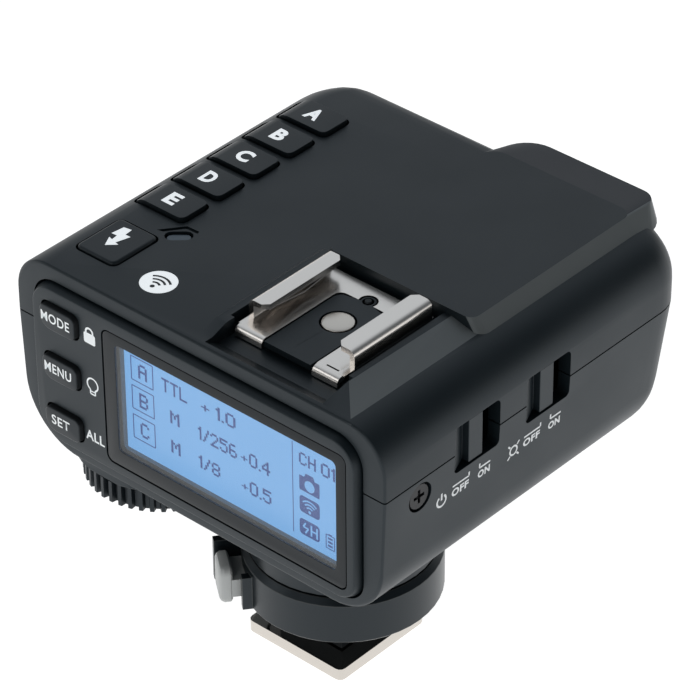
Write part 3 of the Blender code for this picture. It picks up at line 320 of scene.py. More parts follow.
def piece(name, maker, coat):
    """A new piece from a bmesh whose vertices are in millimetres."""
    bmesh.ops.remove_doubles(maker, verts=maker.verts, dist=0.0005)
    bmesh.ops.scale(maker, vec=(MM, MM, MM), verts=maker.verts)
    bmesh.ops.recalc_face_normals(maker, faces=maker.faces)
    mesh = bpy.data.meshes.new(name)
    maker.to_mesh(mesh)
    maker.free()
    if coat:
        mesh.materials.append(coat)
    made = bpy.data.objects.new(name, mesh)
    bpy.context.collection.objects.link(made)
    return made


def loft(name, sections, coat=None):
    """A closed body through rings of points that all have the same number of points."""
    maker = bmesh.new()
    rings = [[maker.verts.new(point) for point in ring] for ring in sections]
    for low, high in zip(rings, rings[1:]):
        for i in range(len(low)):
            j = (i + 1) % len(low)
            maker.faces.new((low[i], low[j], high[j], high[i]))
    maker.faces.new(rings[0])
    maker.faces.new(rings[-1])
    return piece(name, maker, coat)


def placed(axis, a, b, along):
    if axis == "X":
        return (along, a, b)
    if axis == "Y":
        return (a, along, b)
    return (a, b, along)


def prism(name, outline, low, high, axis="Z", coat=None):
    return loft(name, [[placed(axis, a, b, along) for a, b in outline] for along in (low, high)], coat)


def block(name, low, high, coat=None):
    outline = ((low[0], low[1]), (high[0], low[1]), (high[0], high[1]), (low[0], high[1]))
    return prism(name, outline, low[2], high[2], "Z", coat)


def arc(centre_a, centre_b, radius, start, end, steps=ARC_STEPS):
    turns = [math.radians(start + (end - start) * i / steps) for i in range(steps + 1)]
    return [(centre_a + radius * math.cos(t), centre_b + radius * math.sin(t)) for t in turns]


def rounded(left, right, bottom, top, radii, steps=ARC_STEPS):
    """A rectangle with its own radius at top left, top right, bottom right and bottom left."""
    top_left, top_right, bottom_right, bottom_left = [max(r, 0.02) for r in radii]
    return (
        arc(right - top_right, top - top_right, top_right, 0, 90, steps)
        + arc(left + top_left, top - top_left, top_left, 90, 180, steps)
        + arc(left + bottom_left, bottom + bottom_left, bottom_left, 180, 270, steps)
        + arc(right - bottom_right, bottom + bottom_right, bottom_right, 270, 360, steps)
    )


def pillow(name, box, radii, back, face, fillet, axis, coat):
    """A key or plate whose face has a rounded rim; face may lie on either side of back."""
    left, right, bottom, top = box
    away = 1 if face > back else -1
    rings = [(back, 0.0)]
    for i in range(5):
        turn = math.radians(90 * i / 4)
        rings.append((face - away * fillet * (1 - math.sin(turn)), fillet * (1 - math.cos(turn))))
    sections = []
    for along, inset in rings:
        corners = [radius - inset for radius in radii]
        outline = rounded(left + inset, right - inset, bottom + inset, top - inset, corners, 6)
        sections.append([placed(axis, a, b, along) for a, b in outline])
    return loft(name, sections, coat)


def rod(name, start, end, radius, coat=None, steps=32):
    start, end = Vector(start), Vector(end)
    maker = bmesh.new()
    bmesh.ops.create_cone(
        maker, cap_ends=True, segments=steps, radius1=radius, radius2=radius, depth=(end - start).length
    )
    turn = Vector((0, 0, 1)).rotation_difference(end - start).to_matrix().to_4x4()
    bmesh.ops.transform(maker, matrix=Matrix.Translation((start + end) / 2) @ turn, verts=maker.verts)
    return piece(name, maker, coat)


def hull(name, points):
    """The convex body round some points."""
    maker = bmesh.new()
    for point in points:
        maker.verts.new(point)
    result = bmesh.ops.convex_hull(maker, input=maker.verts)
    loose = [item for item in result["geom_interior"] if isinstance(item, bmesh.types.BMVert)]
    bmesh.ops.delete(maker, geom=loose, context="VERTS")
    bmesh.ops.dissolve_limit(maker, angle_limit=0.001, verts=maker.verts, edges=maker.edges)
    return piece(name, maker, None)


def combine(target, tools, operation):
    """Works the tools on the target and removes them."""
    for tool in tools:
        step = target.modifiers.new("combine", "BOOLEAN")
        step.operation = operation
        step.object = tool
        step.solver = "EXACT"
    graph = bpy.context.evaluated_depsgraph_get()
    result = bpy.data.meshes.new_from_object(target.evaluated_get(graph))
    target.modifiers.clear()
    target.data = result
    for tool in tools:
        bpy.data.objects.remove(tool, do_unlink=True)
    return target


def cut(target, *tools):
    return combine(target, tools, "DIFFERENCE")


def join(target, *tools):
    return combine(target, tools, "UNION")


def soften(target, width=0.2, angle=22, segments=2):
    """Rounds the edges a little and shades the rest smooth."""
    target.data.shade_smooth()
    target.data.set_sharp_from_angle(angle=math.radians(angle))
    bevel = target.modifiers.new("edges", "BEVEL")
    bevel.width = width * MM
    bevel.segments = segments
    bevel.limit_method = "ANGLE"
    bevel.angle_limit = math.radians(angle)
    bevel.use_clamp_overlap = True
    bevel.harden_normals = True
    return target


def stand(target, body, slot, *nodes):
    """Puts a piece on its body and hides the CAD nodes that it stands for; the slot is not used."""
    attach(target, body)
    if nodes:
        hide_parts(*nodes)
    return target


# ---------------------------------------------------------------- covers


def edge_inset(radius, depth):
    """How far a rounded edge has drawn in at a depth behind the face that it runs up to."""
    if depth >= radius:
        return 0.0
    return radius - math.sqrt(radius**2 - (radius - depth) ** 2)


def leaned(x, y, z):
    """The bottom cover's draft."""
    below = PARTING_Z - z
    half_width = (BODY_RIGHT - BODY_LEFT) / 2
    x += (BODY_MIDDLE_X - x) / half_width * SIDE_DRAFT * below
    y -= (y - BODY_REAR) / (BODY_FRONT - BODY_REAR) * FRONT_DRAFT * below
    return (x, y, z)


def body_form(name, inset, rear, drafted):
    """The outside of the body, or with an inset its cavity, through rings from rear to front."""
    front = BODY_FRONT - inset
    floor_inset = FLOOR_WALL if inset else 0.0
    depths = (0.0, 0.15, 0.4, 0.8, 1.3, 2.0, 3.0, 4.2, 5.4, RADIUS_PLAN_RIGHT, RADIUS_PLAN_LEFT)
    stations = []
    if inset == 0:
        for i in range(5):
            turn = math.radians(90 * i / 4)
            stations.append((rear + REAR_EDGE * (1 - math.cos(turn)), REAR_EDGE * (1 - math.sin(turn))))
    else:
        stations.append((rear, 0.0))
    stations += [(front - depth, None) for depth in reversed(depths)]
    sections = []
    for y, rear_inset in stations:
        depth = front - y
        if rear_inset is None:
            left = edge_inset(RADIUS_PLAN_LEFT - inset, depth)
            right = edge_inset(RADIUS_PLAN_RIGHT - inset, depth)
            top = edge_inset(RADIUS_DECK_FRONT, depth)
            floor = edge_inset(RADIUS_FLOOR_FRONT, depth)
        else:
            left = right = top = floor = rear_inset
        outline = rounded(
            BODY_LEFT + inset + left,
            BODY_RIGHT - inset - right,
            BODY_BOTTOM + floor_inset + floor,
            BODY_TOP - inset - top,
            [radius - inset for radius in CORNER_RADII],
            12,
        )
        place = leaned if drafted else (lambda *point: point)
        sections.append([place(x, y, z) for x, z in outline])
    return loft(name, sections)


def surround_form():
    """The raised rim round the shoe, with its slopes to the deck."""
    top = [(-12.4, -12.6), (12.1, -11.9), (12.5, HEAD_REAR + 1), (-12.4, HEAD_REAR + 1)]
    hem = [(18.0, -18.1), (18.0, HEAD_REAR + 1)]
    foot = [(-12.4, -17.6), *hem, (-14.6, HEAD_REAR + 1)]
    points = [(x, y, SURROUND_TOP) for x, y in top] + [(x, y, BODY_TOP - 0.15) for x, y in hem]
    points += [(x, y, BODY_TOP - 0.7) for x, y in foot]
    return hull("surround_form", points)


def head_form():
    """The block in front of the shoe."""
    crest = rounded(HEAD_LEFT, HEAD_RIGHT, HEAD_REAR, HEAD_CREST, (3.0, 2.0, 1.6, 1.0), 8)
    brow = rounded(HEAD_LEFT + 0.9, HEAD_RIGHT, HEAD_FRONT - 8, HEAD_FRONT, (5.5, 3.0, 1.0, 1.0), 8)
    foot = rounded(-13.4, HEAD_FOOT_RIGHT, HEAD_REAR - 0.3, HEAD_FRONT, (8.0, 6.0, 1.8, 1.0), 8)
    points = [(x, y, HEAD_TOP) for x, y in crest]
    points += [(x, y, HEAD_BROW) for x, y in brow]
    points += [(x, y, BODY_TOP - 0.9) for x, y in foot]
    return hull("head_form", points)


def switch_windows():
    windows = []
    half = SWITCH_HEIGHT / 2
    for rear in SWITCH_REARS:
        box = (rear, rear + SWITCH_WINDOW, SWITCH_MIDDLE_Z - half, SWITCH_MIDDLE_Z + half)
        outline = rounded(*box, (0.8,) * 4, 5)
        windows.append(prism("window", outline, BODY_RIGHT - 6, BODY_RIGHT + 1, "X"))
    return windows


def panel_outline(grow, steps=ARC_STEPS):
    left, right, bottom, top = PANEL
    radii = [radius + grow for radius in PANEL_RADII]
    return rounded(left - grow, right + grow, bottom - grow, top + grow, radii, steps)


def panel_opening():
    return prism("panel_opening", panel_outline(RIM_GAP), BODY_REAR - 2, BODY_REAR + REAR_WALL + 1, "Y")


def build_top_cover():
    cover = body_form("upper_shell", 0, BODY_REAR, drafted=False)
    cover.data.materials.append(DECK)
    skirt = rounded(-12.8, 18.0, BODY_FRONT - 8, HEAD_FRONT, (8.0, 6.0, 1.0, 1.0), 8)
    join(cover, surround_form())
    join(cover, head_form())
    join(cover, prism("head_skirt", skirt, 46.5, BODY_TOP - 0.5))
    cut(cover, body_form("cavity", WALL, BODY_REAR + REAR_WALL, drafted=False))
    cut(cover, panel_opening())
    cut(cover, block("below", (-70, -40, 0), (50, 80, PARTING_Z + PARTING_GAP / 2)))
    recess = block(
        "recess", (-RECESS_HALF, RECESS_REAR, RECESS_FLOOR), (RECESS_HALF, HEAD_REAR, ABOVE)
    )
    trough_side = [(-17.2, ABOVE), (-17.2, BODY_TOP - 0.1), (-14.6, 53.95), (-10.9, 53.95)]
    trough_side.append((-10.9, ABOVE))
    cut(cover, recess, prism("trough", trough_side, -10.4, 12.0, "X"))
    holes = switch_windows()
    half = TOP_KEY_DEPTH / 2 + GAP
    for middle in TOP_KEY_MIDDLES.values():
        box = (TOP_KEY_LEFT - GAP, TOP_KEY_RIGHT + GAP, middle - half, middle + half)
        holes.append(prism("key_hole", rounded(*box, (1.2,) * 4, 5), 48, ABOVE))
    left, right, rear, front = TEST_KEY
    box = (left - GAP, right + GAP, rear - GAP, front + GAP)
    holes.append(prism("test_hole", rounded(*box, (1.3,) * 4, 5), 48, ABOVE))
    holes.append(prism("light_hole", capsule(1.15, 1.0), 48, ABOVE))
    groove = [(-35.3, -1.2), (-32.5, 2.45), (-30.2, 2.55), (-30.0, 1.95), (-32.2, 1.8), (-34.2, -0.9)]
    holes.append(prism("light_groove", groove, BODY_TOP - 0.3, ABOVE))
    holes.append(prism("lamp_hole", rounded(-7.0, 7.0, 47.6, 53.4, (1.2,) * 4, 5), 45, 60, "Y"))
    cut(cover, *holes)
    # Slot 1 is a painted highlight on the slopes right of the shoe and head
    cover.data.materials.append(FLANK_PAINTED_HIGHLIGHT)
    # Slot 2 is a painted shade on the head's front slope
    cover.data.materials.append(BROW_PAINTED_SHADE)
    for side in cover.data.polygons:
        x, y, z = side.center / MM
        across = side.normal.x
        surround_slope = 0.15 < across < 0.5 and x < 18.2
        head_slope = 0.5 < across < 0.9 and x < 19.2
        if x > 12 and z > BODY_TOP - 0.2 and (surround_slope or head_slope):
            side.material_index = 1
        elif y > HEAD_CREST - 1 and HEAD_BROW - 0.1 < z < HEAD_TOP - 0.02 and side.normal.z > 0.98:
            side.material_index = 2
    soften(cover, 0.15, 20)
    points = cover.data.vertices
    for edge in cover.data.edges:
        if min(points[i].co.z for i in edge.vertices) > (HEAD_TOP - 0.01) * MM:
            edge.use_edge_sharp = True
    stand(cover, "body", "deck_plastic", "top_cover")


def capsule(radius, reach):
    """The status light's outline, which lies along the deck's diagonal."""
    middle_x, middle_y = STATUS_LIGHT
    turn = math.radians(STATUS_LIGHT_TURN)
    outline = arc(reach, 0, radius, -90, 90, 10) + arc(-reach, 0, radius, 90, 270, 10)
    cosine, sine = math.cos(turn), math.sin(turn)
    return [(middle_x + a * cosine - b * sine, middle_y + a * sine + b * cosine) for a, b in outline]


def build_bottom_cover():
    cover = body_form("lower_shell", 0, BODY_REAR, drafted=True)
    cover.data.materials.append(SIDE)
    rings = []
    for radius, z in ((DIAL_BOSS_RADIUS - 0.6, 21.4), (DIAL_BOSS_RADIUS, 22.0), (DIAL_BOSS_RADIUS, 23.8)):
        rings.append([(x, y, z) for x, y in arc(*DIAL_PLACE, radius, 0, 360, 64)[:-1]])
    boss = loft("boss", rings)
    cut(boss, block("behind", (-60, -40, 10), (0, BODY_REAR + 0.1, 40)))
    join(cover, boss)
    cut(cover, body_form("cavity", WALL, BODY_REAR + REAR_WALL, drafted=True))
    cut(cover, panel_opening())
    cut(cover, block("above", (-70, -40, PARTING_Z - PARTING_GAP / 2), (50, 80, 80)))
    holes = switch_windows()
    holes.append(rod("shaft_hole", (*DIAL_PLACE, 18), (*DIAL_PLACE, 30), DIAL_SHAFT_HOLE))
    holes.append(block("door_hole", (DOOR_LEFT, DOOR_REAR, 15), (DOOR_RIGHT, DOOR_FRONT, 30)))
    for outside, inside, seat in ((26, 18, 23.0), (-49, -42, -46.4)):
        mouth = (outside, *SCREW_PLACE)
        holes.append(rod("screw_hole", (inside, *SCREW_PLACE), mouth, 1.3))
        holes.append(rod("screw_seat", (seat, *SCREW_PLACE), mouth, 2.4))
    holes.append(prism("usb_hole", rounded(*USB_BOX, (1.2,) * 4, 5), -52, -43, "X"))
    holes.append(rod("jack_hole", (-52, *JACK_PLACE), (-43, *JACK_PLACE), JACK_RADIUS))
    holes.append(rod("wire_hole", (0, 0, 15), (0, 0, 30), 4.0))
    cut(cover, *holes)
    knuckles = []
    for left, right in ((-32.3, -29.6), (5.0, 7.7)):
        knuckles.append(block("knuckle", (left, 38.3, 22.8), (right, 42.2, 25.0)))
    join(cover, *knuckles)
    pin_start, pin_end = (DOOR_LEFT + 0.3, HINGE_Y, HINGE_Z), (DOOR_RIGHT - 0.3, HINGE_Y, HINGE_Z)
    cut(cover, rod("pin_hole", pin_start, pin_end, HINGE_PIN_HOLE))
    stand(soften(cover, 0.18), "body", "deck_plastic", "bottom_cover")


def build_rear_panel():
    edge = ((-19.4, -0.45), (-19.36, -0.25), (-19.25, -0.1), (-19.0, 0.0), (-18.2, 0.3), (-15.6, 0.3))
    rings = [[(x, y, z) for x, z in panel_outline(grow)] for y, grow in edge]
    panel = loft("screen_panel", rings, PANEL_SATIN)
    left, right, bottom, top = LENS
    lens = rounded(left - 0.2, right + 0.2, bottom - 0.2, top + 0.2, (1.4,) * 4, 6)
    cutters = [
        prism("pocket", panel_outline(-1.6), -17.6, -10, "Y"),
        prism("lens_hole", lens, -25, LENS_FACE + 1.3, "Y"),
        block("screen_hole", (-28.2, -25, 27.9), (17.2, -10, 49.6)),
    ]
    for low, high in REAR_KEY_SPANS.values():
        box = (REAR_KEY_LEFT - 0.3, REAR_KEY_RIGHT + 0.3, low - 0.3, high + 0.3)
        cutters.append(prism("key_hole", rounded(*box, (1.3, 1.3, 1.3, 2.3), 6), -25, -10, "Y"))
    cut(panel, *cutters)
    stand(soften(panel, CHAMFER), "body", "deck_plastic", "rear_panel")


# ---------------------------------------------------------------- screen


def build_lens():
    back = LENS_FACE + 0.35
    border = pillow("lens_border", LENS, (1.2,) * 4, back, LENS_FACE, CHAMFER, "Y", LENS_BORDER)
    inner = rounded(*LENS_WINDOW, (0.9,) * 4, 6)
    cut(border, prism("window", inner, -25, -10, "Y"))
    stand(soften(border, 0.05), "body", "lens")
    pane_box = [side + grow for side, grow in zip(LENS_WINDOW, (0.02, -0.02, 0.02, -0.02))]
    back, face = LENS_FACE + 0.2, LENS_FACE + 0.02
    pane = pillow("lens_pane", pane_box, (0.9,) * 4, back, face, 0.05, "Y", CLEAR)
    stand(pane, "body", "lens", "screen_lens")


def build_display():
    """The lit screen behind its grey frame, with the crystal's margin between them."""
    left, right, bottom, top = SCREEN
    back = SCREEN_FACE + 0.6
    face = pillow("display_face", SCREEN, (0.2,) * 4, back, SCREEN_FACE, 0.05, "Y", SCREEN_LIGHT)
    stand(face, "body", "screen", "lcd_glass")
    outer = rounded(-28.1, 17.1, 28.0, 49.5, (0.5,) * 4, 3)
    inner = rounded(left - 0.02, right + 0.02, bottom - 0.02, top + 0.02, (0.2,) * 4, 3)
    window = rounded(*LENS_WINDOW, (0.9,) * 4, 3)
    rings = [
        [placed("Y", a, b, SCREEN_FRAME_FACE) for a, b in outer],
        [placed("Y", a, b, SCREEN_FRAME_FACE) for a, b in window],
        [placed("Y", a, b, SCREEN_FACE) for a, b in inner],
        [placed("Y", a, b, SCREEN_FACE + 0.8) for a, b in inner],
        [placed("Y", a, b, SCREEN_FACE + 0.8) for a, b in outer],
    ]
    maker = bmesh.new()
    loops = [[maker.verts.new(point) for point in ring] for ring in rings]
    for low, high in zip(loops, loops[1:] + loops[:1]):
        for i in range(len(low)):
            j = (i + 1) % len(low)
            maker.faces.new((low[i], low[j], high[j], high[i]))
    # The frame's glow is painted light
    stand(piece("display_frame", maker, FRAME_GREY_PAINTED_GLOW), "body", "grey_plastic", "screen_frame")


# ---------------------------------------------------------------- printed marks


class Face:
    """A flat face that marks are printed on, with the directions that run across and up it."""

    def __init__(self, origin, across, up, body, coat, slot="grey_plastic", proud=PRINT_PROUD):
        self.across, self.up = Vector(across), Vector(up)
        self.origin = Vector(origin) + self.across.cross(self.up) * proud
        self.body, self.coat, self.slot = body, coat, slot

    def point(self, a, b):
        return self.origin + self.across * a + self.up * b

    def lay(self, name, polygons):
        """Polygons on this face as one piece."""
        maker = bmesh.new()
        for polygon in polygons:
            maker.faces.new([maker.verts.new(self.point(a, b)) for a, b in polygon])
        bmesh.ops.triangulate(maker, faces=maker.faces)
        for side in maker.faces:
            side.normal_update()
            if side.normal.dot(self.across.cross(self.up)) < 0:
                side.normal_flip()
        bmesh.ops.scale(maker, vec=(MM, MM, MM), verts=maker.verts)
        mesh = bpy.data.meshes.new(name)
        maker.to_mesh(mesh)
        maker.free()
        mesh.materials.append(self.coat)
        made = bpy.data.objects.new(name, mesh)
        bpy.context.collection.objects.link(made)
        return stand(made, self.body, self.slot)

    def write(self, name, words, left, right, bottom, top, bold=0.012):
        """Words that fill a box on this face."""
        curve = bpy.data.curves.new(name, "FONT")
        curve.body = words
        curve.offset = bold
        curve.resolution_u = 4
        curve.space_character = 1.08
        holder = bpy.data.objects.new(name + "_curve", curve)
        bpy.context.collection.objects.link(holder)
        graph = bpy.context.evaluated_depsgraph_get()
        mesh = bpy.data.meshes.new_from_object(holder.evaluated_get(graph))
        bpy.data.objects.remove(holder, do_unlink=True)
        xs = [v.co.x for v in mesh.vertices]
        ys = [v.co.y for v in mesh.vertices]
        wide, tall = max(xs) - min(xs), max(ys) - min(ys)
        for vertex in mesh.vertices:
            a = left + (vertex.co.x - min(xs)) / wide * (right - left)
            b = bottom + (vertex.co.y - min(ys)) / tall * (top - bottom)
            vertex.co = self.point(a, b) * MM
        mesh.materials.clear()
        mesh.materials.append(self.coat)
        made = bpy.data.objects.new(name, mesh)
        bpy.context.collection.objects.link(made)
        return stand(made, self.body, self.slot)


# A dot's size on the screen, in steps of its grid, and the dot letters
DOT_WIDTH = 1.22
DOT_HEIGHT = 1.12
GLYPHS = {
    "A": (" ### ", "#   #", "#   #", "#####", "#   #", "#   #", "#   #"),
    "B": ("#### ", "#   #", "#   #", "#### ", "#   #", "#   #", "#### "),
    "C": (" ### ", "#   #", "#    ", "#    ", "#    ", "#   #", " ### "),
    "H": ("#   #", "#   #", "#   #", "#####", "#   #", "#   #", "#   #"),
    "L": ("#    ", "#    ", "#    ", "#    ", "#    ", "#    ", "#####"),
    "M": ("#   #", "## ##", "# # #", "# # #", "#   #", "#   #", "#   #"),
    "T": ("#####", "  #  ", "  #  ", "  #  ", "  #  ", "  #  ", "  #  "),
    "0": (" ### ", "#   #", "#   #", "#   #", "#   #", "#   #", " ### "),
    "1": (" #", "##", " #", " #", " #", " #", " #"),
    "2": (" ### ", "#   #", "    #", "   # ", "  #  ", " #   ", "#####"),
    "4": ("   # ", "  ## ", " # # ", "#  # ", "#####", "   # ", "   # "),
    "5": ("#####", "#    ", "#### ", "    #", "    #", "#   #", " ### "),
    "6": (" ### ", "#    ", "#    ", "#### ", "#   #", "#   #", " ### "),
    "8": (" ### ", "#   #", "#   #", " ### ", "#   #", "#   #", " ### "),
    "/": ("   #", "   #", "  # ", "  # ", " #  ", " #  ", "#   "),
    "+": ("     ", "  #  ", "  #  ", "#####", "  #  ", "  #  ", "     "),
    ".": (" ", " ", " ", " ", " ", " ", "#"),
}


def dots(words, left, right, bottom, top):
    """Words in a dot font that fill a box; each dot is a square that just meets the next."""
    rows = [" ".join(GLYPHS[letter][row] for letter in words) for row in range(7)]
    wide, tall = (right - left) / len(rows[0]), (top - bottom) / 7
    squares = []
    for row, line in enumerate(rows):
        for column, dot in enumerate(line):
            if dot == "#":
                a, b = left + column * wide, top - row * tall
                c, d = a + wide * DOT_WIDTH, b - tall * DOT_HEIGHT
                squares.append([(a, b), (c, b), (c, d), (a, d)])
    return squares


def bar(start, end, width):
    """A straight stroke with square ends."""
    start, end = Vector(start), Vector(end)
    along = (end - start).normalized()
    side = Vector((-along.y, along.x)) * width / 2
    return [tuple(start + side), tuple(start - side), tuple(end - side), tuple(end + side)]


def strokes(points, width):
    return [bar(start, end, width) for start, end in zip(points, points[1:])]


def band(centre, radius, width, start, end, steps=24):
    """A curved stroke, as quadrilaterals."""
    outer = arc(*centre, radius + width / 2, start, end, steps)
    inner = arc(*centre, radius - width / 2, start, end, steps)
    return [[outer[i], outer[i + 1], inner[i + 1], inner[i]] for i in range(steps)]


def frame_strokes(box, width):
    left, right, bottom, top = box
    corners = [(left, bottom), (right, bottom), (right, top), (left, top), (left, bottom)]
    return strokes(corners, width)


def print_rear_marks():
    across, up = (1, 0, 0), (0, 0, 1)
    words = (
        ("mode_key", "MODE", -40.75, -34.95),
        ("menu_key", "MENU", -40.6, -35.1),
        ("set_key", "SET", -39.75, -36.0),
    )
    for key, word, left, right in words:
        low, high = REAR_KEY_SPANS[key]
        middle = (low + high) / 2 + 0.15
        face = Face((0, REAR_KEY_FACE, 0), across, up, key, PAINTED_GLOW_PRINT, proud=0.008)
        face.write(f"{key}_word", word, left, right, middle - 0.85, middle + 0.85, 0.014)
    panel = Face((0, PANEL_FACE, 0), across, up, "body", PAINTED_GLOW_PRINT)
    panel.write("all_word", "ALL", -33.35, -29.55, 28.6, 30.35, 0.022)
    lock = [rounded(-32.75, -30.45, 46.35, 48.2, (0.3,) * 4, 3)]
    lock += band((-31.6, 48.4), 0.68, 0.34, 0, 180)
    lock += [bar((x, 48.4), (x, 48.1), 0.34) for x in (-32.28, -30.92)]
    panel.lay("padlock_mark", lock)
    bulb = band((-31.45, 39.1), 1.08, 0.28, -62, 242)
    bulb += strokes([(-31.95, 38.2), (-31.95, 37.35), (-30.95, 37.35), (-30.95, 38.2)], 0.26)
    bulb += [bar((-31.95, 37.85), (-30.95, 37.85), 0.2)]
    panel.lay("bulb_mark", bulb)


def print_deck_marks():
    across, up = (1, 0, 0), (0, 1, 0)
    for key, middle in TOP_KEY_MIDDLES.items():
        letter = key[-1].upper()
        face = Face((-38.35, middle + 0.15, TOP_KEY_TOP), across, up, key, DECK_PRINT_PAINTED_GLOW)
        half = 1.3 if letter in "AC" else 1.12
        face.write(f"{key}_letter", letter, -half, half, -1.5, 1.5, 0.045)
    bolt = [(-38.9, -4.35), (-37.5, -4.1), (-37.35, -5.6), (-36.35, -5.55), (-37.05, -8.0), (-36.3, -8.15)]
    bolt += [(-37.75, -9.5), (-38.75, -7.55), (-38.0, -7.75), (-38.15, -6.55), (-39.2, -6.65)]
    face = Face((0, 0, TEST_KEY_TOP), across, up, "test_key", DECK_PRINT_PAINTED_GLOW)
    face.lay("bolt_mark", [bolt])
    deck = Face((0, 0, BODY_TOP), across, up, "body", DECK_PRINT_PAINTED_GLOW)
    x, y = -25.6, -10.8
    deck.lay("wireless_disc", [arc(x, y, 2.85, 0, 360, 48)[:-1]])
    mark = Face((0, 0, BODY_TOP), across, up, "body", INK, proud=PRINT_PROUD * 2)
    waves = [arc(x, y - 1.35, 0.38, 0, 360, 16)[:-1]]
    for radius in (1.05, 1.85, 2.65):
        waves += band((x, y - 1.35), radius, 0.38, 48, 132, 10)
    mark.lay("wireless_waves", waves)


def print_side_marks():
    wall = Face((BODY_RIGHT, 0, 0), (0, 1, 0), (0, 0, 1), "body", WALL_PRINT)
    wall.up = Vector((SIDE_DRAFT, 0, 1))
    wall.origin.x -= SIDE_DRAFT * PARTING_Z
    power = band((-5.85, 38.1), 0.95, 0.34, -235, 55) + [bar((-5.85, 38.2), (-5.85, 39.45), 0.34)]
    wall.lay("power_mark", power)
    wall.write("power_off_word", "OFF", -3.65, 0.05, 37.35, 38.7, 0.04)
    wall.write("power_on_word", "ON", 2.05, 4.7, 37.45, 38.75, 0.04)
    wall.lay("power_off_line", strokes([(-3.5, 39.25), (0.05, 39.25), (0.05, 40.0)], 0.3))
    wall.lay("power_on_line", strokes([(4.7, 39.3), (2.35, 39.3), (2.35, 40.1)], 0.3))
    lamp = band((9.95, 38.1), 0.78, 0.32, 0, 360)
    for turn in (45, 135, 225, 315):
        step = Vector((math.cos(math.radians(turn)), math.sin(math.radians(turn))))
        centre = Vector((9.95, 38.1))
        lamp.append(bar(centre + step * 1.05, centre + step * 1.75, 0.3))
    wall.lay("lamp_mark", lamp)
    wall.write("lamp_off_word", "OFF", 12.1, 15.85, 37.3, 38.6, 0.04)
    wall.write("lamp_on_word", "ON", 17.75, 20.4, 37.3, 38.6, 0.04)
    wall.lay("lamp_off_line", strokes([(12.25, 39.1), (15.9, 39.1), (15.9, 39.8)], 0.3))
    wall.lay("lamp_on_line", strokes([(20.5, 39.2), (18.15, 39.2), (18.15, 40.0)], 0.3))


def print_screen_marks():
    face = Face((0, SCREEN_FACE, 0), (1, 0, 0), (0, 0, 1), "body", SCREEN_INK, "screen")
    for number, (low, high) in enumerate(((41.9, 46.1), (36.7, 40.85), (31.4, 35.6))):
        letter = "ABC"[number]
        face.lay(f"box_{letter}", frame_strokes((-25.5, -21.15, low, high), 0.2))
        middle = (low + high) / 2
        face.lay(f"group_{letter}", dots(letter, -24.1, -22.4, middle - 1.3, middle + 1.3))
    rows = (
        ("row_a_mode", "TTL", -19.4, -14.4, 42.75, 45.1),
        ("row_a_plus", "+", -11.6, -10.0, 42.95, 44.45),
        ("row_a_value", "1.0", -8.7, -4.9, 42.8, 45.1),
        ("row_b_mode", "M", -17.9, -16.1, 37.7, 39.95),
        ("row_b_power", "1/256", -12.35, -4.75, 37.55, 39.9),
        ("row_b_plus", "+", -3.95, -2.7, 37.85, 39.1),
        ("row_b_value", "0.4", -2.35, 1.7, 37.65, 40.0),
        ("row_c_mode", "M", -17.9, -16.1, 32.4, 34.65),
        ("row_c_power", "1/8", -12.4, -8.2, 32.45, 34.7),
        ("row_c_plus", "+", -3.95, -2.7, 32.75, 34.0),
        ("row_c_value", "0.5", -2.35, 1.8, 32.6, 34.95),
        ("channel_word", "CH", 7.35, 10.5, 42.95, 45.1),
        ("channel_number", "01", 11.5, 14.1, 42.95, 45.2),
    )
    for name, words, left, right, bottom, top in rows:
        face.lay(name, dots(words, left, right, bottom, top))
    face.lay("divider", [bar((6.1, 30.1), (6.1, 46.2), 0.16)])
    body = rounded(7.35, 11.2, 38.4, 41.0, (0.15,) * 4, 2)
    hole = arc(9.3, 39.65, 0.98, 0, 360, len(body))[:-1]
    camera = []
    for i in range(len(body)):
        j = (i + 1) % len(body)
        camera.append([body[i], body[j], hole[j], hole[i]])
    camera.append([(8.3, 41.0), (10.3, 41.0), (10.0, 41.7), (8.6, 41.7)])
    face.lay("camera_mark", camera)
    face.lay("radio_tile", [rounded(7.35, 11.2, 34.55, 37.5, (0.6,) * 4, 4)])
    face.lay("flash_tile", [rounded(7.3, 11.15, 30.55, 33.4, (0.6,) * 4, 4)])
    proud = PRINT_PROUD * 2
    knock = Face((0, SCREEN_FACE, 0), (1, 0, 0), (0, 0, 1), "body", SCREEN_LIGHT, "screen", proud)
    waves = [arc(9.28, 35.1, 0.26, 0, 360, 12)[:-1]]
    for radius in (0.75, 1.3, 1.85):
        waves += band((9.28, 35.1), radius, 0.26, 45, 135, 8)
    knock.lay("radio_waves", waves)
    knock.lay("flash_letter", dots("H", 9.4, 10.75, 31.0, 32.9))
    knock.lay("flash_bolt", strokes([(8.5, 32.85), (8.0, 32.0), (9.0, 32.0), (8.4, 31.0)], 0.28))
    battery = frame_strokes((12.35, 13.95, 30.5, 32.9), 0.18)
    battery += [bar((12.8, 33.05), (13.5, 33.05), 0.2)]
    for low in (30.85, 31.5, 32.15):
        battery.append(bar((12.7, low + 0.2), (13.6, low + 0.2), 0.36))
    face.lay("battery_mark", battery)


# ---------------------------------------------------------------- shoe


